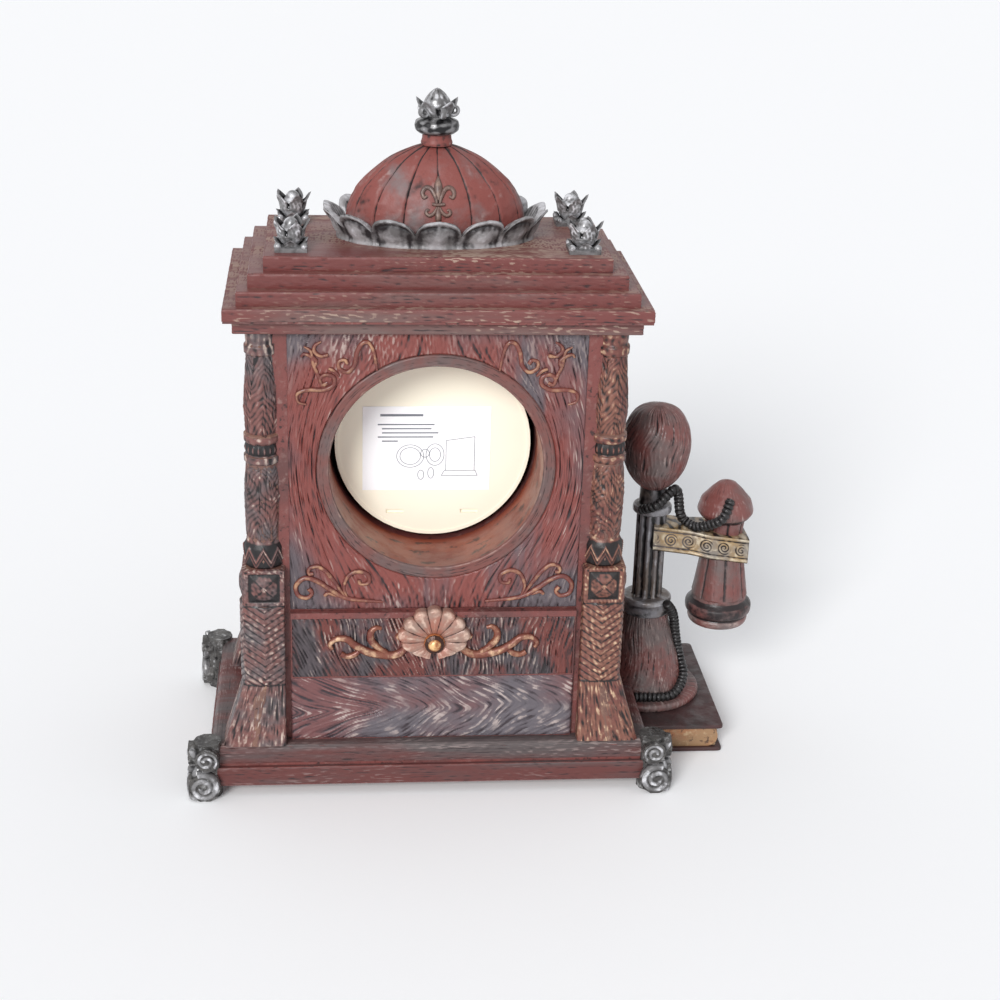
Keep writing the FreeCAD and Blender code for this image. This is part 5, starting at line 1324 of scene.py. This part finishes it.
receiverSkin = {"x": -127.6, "y": -20.4, "low": 45.8, "length": 65.4, "radius": 14.2}
receiverShares = ((0.02, 0.002), (0.84, 0.002), (0.9, 0.02), (0.92, 0.045), (0.86, 0.062), (0.99, 0.085),
                  (1.01, 0.115), (1.0, 0.14), (0.86, 0.17), (0.82, 0.2), (0.7, 0.36), (0.58, 0.55), (0.53, 0.66),
                  (0.57, 0.73), (0.74, 0.755), (0.84, 0.79), (0.83, 0.81), (0.75, 0.87), (0.47, 0.94),
                  (0.25, 0.985), (0.02, 1.0))


def onReceiver(share):
    # a height on the receiver from its share of the receiver's length
    return receiverSkin["low"] + share * receiverSkin["length"]


receiverRows = [(r * receiverSkin["radius"], onReceiver(h)) for r, h in receiverShares]


def capCarve(angle, w, radius):
    # short wavy grain on the round cap
    value = woodGrain(w, angle * 9, 1.8, 181, wander=0.8, length=9, fine=0.5)
    return 0.2 * (value - 0.5), unit(0.3 + 0.6 * value)


receiverCarve = banded(
    40, flatCarve(0.95), onReceiver(0.055), flatCarve(0.08), onReceiver(0.075), smoothCarve(0.3, 0.1, 5, 182),
    onReceiver(0.15), flatCarve(0.05), onReceiver(0.18), smoothCarve(0.5), onReceiver(0.2), panelled(7, 183),
    onReceiver(0.73), flatCarve(0.1), onReceiver(0.765), capCarve, 130)
receiverSheet = turnedSheet(receiverRows, receiverSkin["x"], receiverSkin["y"], 150, receiverCarve, step=0.35,
                            passes=2)
makePiece("receiver_trumpet", [receiverSheet], phonePaint, hides=("receiver",))
print("stage: telephone")


cordSkin = {"radius": 2.1, "pitch": 1.95, "valley": 0.74, "sides": 16}


def roundPhone(degrees, radius, z):
    # a point beside the telephone: 0 degrees is the rear and 90 the side away from the case
    angle = math.radians(degrees)
    return phoneX - radius * math.sin(angle), phoneY + radius * math.cos(angle), z


cordPaths = {
    "lower_cord": (
        roundPhone(-18, 21.1, 17.8), roundPhone(28, 21.1, 17.8), roundPhone(62, 19.0, 22.0),
        roundPhone(78, 16.34, 28.3), roundPhone(78, 14.06, 37.4), roundPhone(62, 12.5, 50.7),
        roundPhone(34, 12.5, 58.1),
    ),
    "upper_cord": (
        roundPhone(-52, 7.7, 99.2), roundPhone(0, 9.8, 103.4), roundPhone(62, 9.8, 108.5),
        roundPhone(78, 11.9, 97.1), (-110.0, -18.9, 93.25), (-114.76, -13.96, 92.2), (-123.28, -7.56, 98.12),
        (-127.6, -11.11, 105.97),
    ),
}


def ribbedTube(points):
    # a tube whose radius follows a row of round ribs, one pitch apart, and shrinks at its two ends
    s = cordSkin
    path = smoothPath(points, 0.2)
    run = np.arange(len(path)) * 0.2
    wave = np.abs(np.sin(run * math.pi / s["pitch"]))
    radius = s["radius"] * (s["valley"] + (1.04 - s["valley"]) * wave ** 0.6)
    radius[:3] *= np.array([0.5, 0.8, 0.95])
    radius[-3:] *= np.array([0.95, 0.8, 0.5])
    return tubeAlong(path + middleAt, radius, s["sides"], (0.21, 0.33, 0.92), 1.0, 0.05 + 0.85 * wave)


for name, points in cordPaths.items():
    makePiece(f"{name}_ribs", [ribbedTube(points)], cordPaint, hides=(name,), closed=True, crease=70)


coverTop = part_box("rear_cover")[1][1]
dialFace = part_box("dial")[0][1]
labelLow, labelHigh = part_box("battery_label")
dialSkin = {"dots": 33.2, "numbers": 27.4, "numberSize": 0.0072, "hourDot": 0.62, "minuteDot": 0.3}


def faceRing(name, radii, y0, y1, body, material, sides=160):
    # a flat ring with square edges round the insert's axis, between two radii and two depths
    inner, outer = radii
    angle = aroundAngles(sides)
    radius = np.array([inner, outer, outer, inner])[:, None] + 0 * angle
    y = np.array([y1, y1, y0, y0])[:, None] + 0 * angle
    points = np.stack([midX + radius * np.cos(angle) * mm, y, (holeRise + radius * np.sin(angle)) * mm], axis=-1)
    sheet = sheetMesh(points, 0.6, wrapRows=True, wrapColumns=True)
    makePiece(name, [sheet], material, body, closed=True)


def barSheet(x0, x1, z0, z1, y0, y1):
    # a thin straight-sided bar as a closed strip, with its long ends shut
    ring = np.array([(x0, z0), (x1, z0), (x1, z1), (x0, z1)])
    middle = ring.mean(axis=0)
    rows = []
    for share, y in ((0.0, y0), (1, y0), (1, y1), (0.0, y1)):
        point = middle + (ring - middle) * share
        rows.append(np.stack([point[:, 0], np.full(4, y), point[:, 1]], axis=-1))
    return sheetMesh(np.array(rows), 0.6, wrapColumns=True)


def labelSheets():
    # plain bars where the lines of print stand, and thin outlines of a stand and rings, with no letters
    face = labelHigh[1]
    cx, cz = (labelLow[0] + labelHigh[0]) / 2, (labelLow[2] + labelHigh[2]) / 2
    bars = []

    def bar(u0, u1, w0, w1):
        sheet = barSheet(cx - u1 * mm, cx - u0 * mm, cz + w0 * mm, cz + w1 * mm, face - 0.00002, face + 0.00003)
        bars.append(sheet)

    bar(-18.5, -1.5, 13.6, 14.6)
    for k, (u0, u1) in enumerate(((-19.5, 3.0), (-17.8, 1.8), (-17.8, 4.6), (-19.5, 2.6), (-17.8, -11.5))):
        bar(u0, u1, 9.9 - 1.75 * k, 10.45 - 1.75 * k)
    for u0, w0, u1, w1 in ((6, -11.6, 20.5, -11.6), (7.2, -9.4, 19.6, -9.4), (7.8, -9.4, 7.8, 3.4),
                           (19.2, -9.4, 19.2, 5.0), (7.8, 3.4, 19.2, 5.0), (6, -11.6, 7.2, -9.4),
                           (20.5, -11.6, 19.6, -9.4)):
        u, w = np.linspace(u0, u1, 12), np.linspace(w0, w1, 12)
        path = np.stack([cx - u * mm, np.full(12, face), cz + w * mm], axis=-1) / mm
        bars.append(tubeAlong(path, 0.13, 6, (0, 1, 0), 0.4, 0.3))
    for u0, w0, halfWide, halfTall in ((-6.5, -3.2, 5.4, 4.8), (-6.5, -3.2, 4.1, 3.6), (3.4, -2.6, 3.6, 4.6),
                                       (3.4, -2.6, 2.2, 2.9), (-0.6, -2.0, 1.7, 1.7), (1.8, -10.4, 1.2, 2.3),
                                       (-2.2, -11.2, 1.2, 2.0)):
        a = np.linspace(0, turn, 40)
        path = np.stack([cx / mm - (u0 + halfWide * np.cos(a)), np.full(40, face / mm),
                         cz / mm + w0 + halfTall * np.sin(a)], axis=-1)
        bars.append(tubeAlong(path, 0.14, 6, (0, 1, 0), 0.4, 0.3))
    return bars


makePiece("label_marks", labelSheets(), inkGrey, body="cover", closed=True)
faceRing("cover_rim", (37.6, 38.95), coverTop - 0.0004, coverTop + 0.00025, "cover", coverCream,
         sides=200)


def dialMarks():
    # plain hour numbers as raised text, minute dots and two fine rings on the dial's front face
    s, face = dialSkin, dialFace
    dots = []
    b = aroundAngles(12)[0]
    for k in range(60):
        a = k * turn / 60
        size = s["minuteDot"] if k % 5 else s["hourDot"]
        cx, cz = midX + s["dots"] * mm * math.sin(a), (holeRise + s["dots"] * math.cos(a)) * mm
        rows = []
        for share, y in ((0.0, face - 0.00005), (1.0, face - 0.00005), (1.0, face + 0.0001)):
            reach = size * share * mm
            rows.append(np.stack([cx + reach * np.cos(b), np.full(12, y), cz + reach * np.sin(b)], axis=-1))
        dots.append(sheetMesh(np.array(rows), 0.5, wrapColumns=True))
    makePiece("dial_dots", dots, inkBlack, body="clock_insert", closed=True)
    for number in range(1, 13):
        curve = bpy.data.curves.new(f"dial_number_{number}", "FONT")
        curve.body = str(number)
        curve.size = s["numberSize"]
        curve.align_x = "CENTER"
        curve.align_y = "CENTER"
        curve.extrude = 0.00004
        text = bpy.data.objects.new(f"dial_text_{number}", curve)
        placeInScene(text)
        bpy.context.view_layer.update()
        mesh = bpy.data.meshes.new_from_object(text)
        bpy.data.objects.remove(text)
        a = number * turn / 12
        middle = (midX + s["numbers"] * mm * math.sin(a), face - 0.00003,
                  (holeRise + s["numbers"] * math.cos(a)) * mm)
        mesh.transform(Matrix.Rotation(quarterTurn, 4, "X"))
        mesh.transform(Matrix.Translation(middle))
        mesh.materials.clear()
        mesh.materials.append(inkBlack)
        piece = bpy.data.objects.new(f"dial_number_{number}", mesh)
        placeInScene(piece)
        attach(piece, "clock_insert")


dialMarks()
for index, radii in enumerate(((35.4, 35.7), (31.0, 31.2))):
    faceRing(f"dial_ring_{index}", radii, dialFace - 0.00005, dialFace + 0.0001, "clock_insert", inkBlack)
print("stage: insert")


cadFinishes = (
    (nodeWood, ("case_shell", "drawer_panel_rear", "drawer_panel_front", "base_plinth", "cornice", "roof_steps")),
    (bezelBrass, ("bezel",)), (blackPlastic, ("drum", "dial_nut")), (gripRubber, ("rubber_ring",)),
    (dialCard, ("dial",)), (coverCream, ("rear_cover",)), (labelPaper, ("battery_label",)),
    (inkBlack, ("hour_hand", "minute_hand", "second_hand")), (movementPlastic, ("movement_tray", "movement_lid")),
    (gearWhite, ("cannon_pinion", "hour_wheel", "motion_wheel", "second_wheel", "third_wheel", "centre_wheel",
                 "reduction_wheel", "setting_knob")),
    (cellWrap, ("battery",)), (springSteel, ("battery_contacts", "stator")), (boardGreen, ("circuit_board",)),
    (coilCopper, ("coil",)), (magnetGrey, ("rotor",)),
)
for finish, names in cadFinishes:
    nodeMaterial(finish, *names)
nodeMaterial(lensGlass(), "lens")


cameraFit = {"tipped": 22.15, "turned": 5.65, "rolled": 1.85, "lens": 66.87, "place": (41.0, 702.9, 398.3)}


def studioCamera():
    # the photograph's own camera, fitted to it: tipped down by a, turned by b and rolled by r
    a, b, r = (math.radians(cameraFit[key]) for key in ("tipped", "turned", "rolled"))
    forward = Vector((math.sin(b) * math.cos(a), math.cos(b) * math.cos(a), -math.sin(a)))
    right = Vector((math.cos(b), -math.sin(b), 0))
    up = right.cross(forward)
    rolledRight = math.cos(r) * right + math.sin(r) * up
    rolledUp = -math.sin(r) * right + math.cos(r) * up
    columns = [Vector((-v[0], -v[1], v[2])) for v in (rolledRight, rolledUp, -forward)]
    data = bpy.data.cameras.new("studioCamera")
    data.sensor_width = 36
    data.lens = cameraFit["lens"]
    camera = bpy.data.objects.new("studioCamera", data)
    placeInScene(camera)
    x, y, z = cameraFit["place"]
    columns.append(Vector((midX + x * mm, midY + y * mm, z * mm)))
    matrix = Matrix.Identity(4)
    for column, axis in enumerate(columns):
        for row in range(3):
            matrix[row][column] = axis[row]
    camera.matrix_world = matrix
    bpy.context.scene.camera = camera


def sunLight(name, toward, softness, power):
    # a large soft lamp far away, in the direction that points from the object toward it
    data = bpy.data.lights.new(name, "SUN")
    data.angle = math.radians(softness)
    data.energy = power
    light = bpy.data.objects.new(name, data)
    placeInScene(light)
    light.rotation_euler = Vector(toward).to_track_quat("Z", "Y").to_euler()


def studioFloor():
    # a plain pale floor that reaches past the picture
    mesh = bpy.data.meshes.new("studioFloor")
    reach = 40.0
    mesh.from_pydata([(-reach, -reach, 0), (reach, -reach, 0), (reach, reach, 0), (-reach, reach, 0)], [],
                     [(0, 1, 2, 3)])
    mesh.materials.append(newMaterial("studioFloor", "fdfdfd", 0.8)[0])
    floor = bpy.data.objects.new("studioFloor", mesh)
    placeInScene(floor)


def studioWorld():
    # an even pale room that lights the object; the camera, mirrors and glass see a brighter white one
    world = bpy.data.worlds.new("studioWorld")
    bpy.context.scene.world = world
    world.use_nodes = True
    tree = world.node_tree
    background = tree.nodes["Background"]
    background.inputs["Color"].default_value = paint("eceef2")
    background.inputs["Strength"].default_value = 0.72
    seen = tree.nodes.new("ShaderNodeBackground")
    seen.inputs["Color"].default_value = paint("f0f0f1")
    seen.inputs["Strength"].default_value = 1.0
    path = tree.nodes.new("ShaderNodeLightPath")
    first = combined(tree, path.outputs["Is Camera Ray"], path.outputs["Is Glossy Ray"], "MAXIMUM")
    second = combined(tree, first, path.outputs["Is Transmission Ray"], "MAXIMUM")
    mix = tree.nodes.new("ShaderNodeMixShader")
    feed(tree, second, mix, 0)
    feed(tree, background.outputs[0], mix, 1)
    feed(tree, seen.outputs[0], mix, 2)
    feed(tree, mix.outputs[0], tree.nodes["World Output"], "Surface")


studioCamera()
studioFloor()
studioWorld()
sunLight("keyLight", (0.38, 0.83, 0.46), 22, 2.5)
bpy.context.scene.view_settings.view_transform = "Standard"
print("stage: studio set")

print("stage: finished")
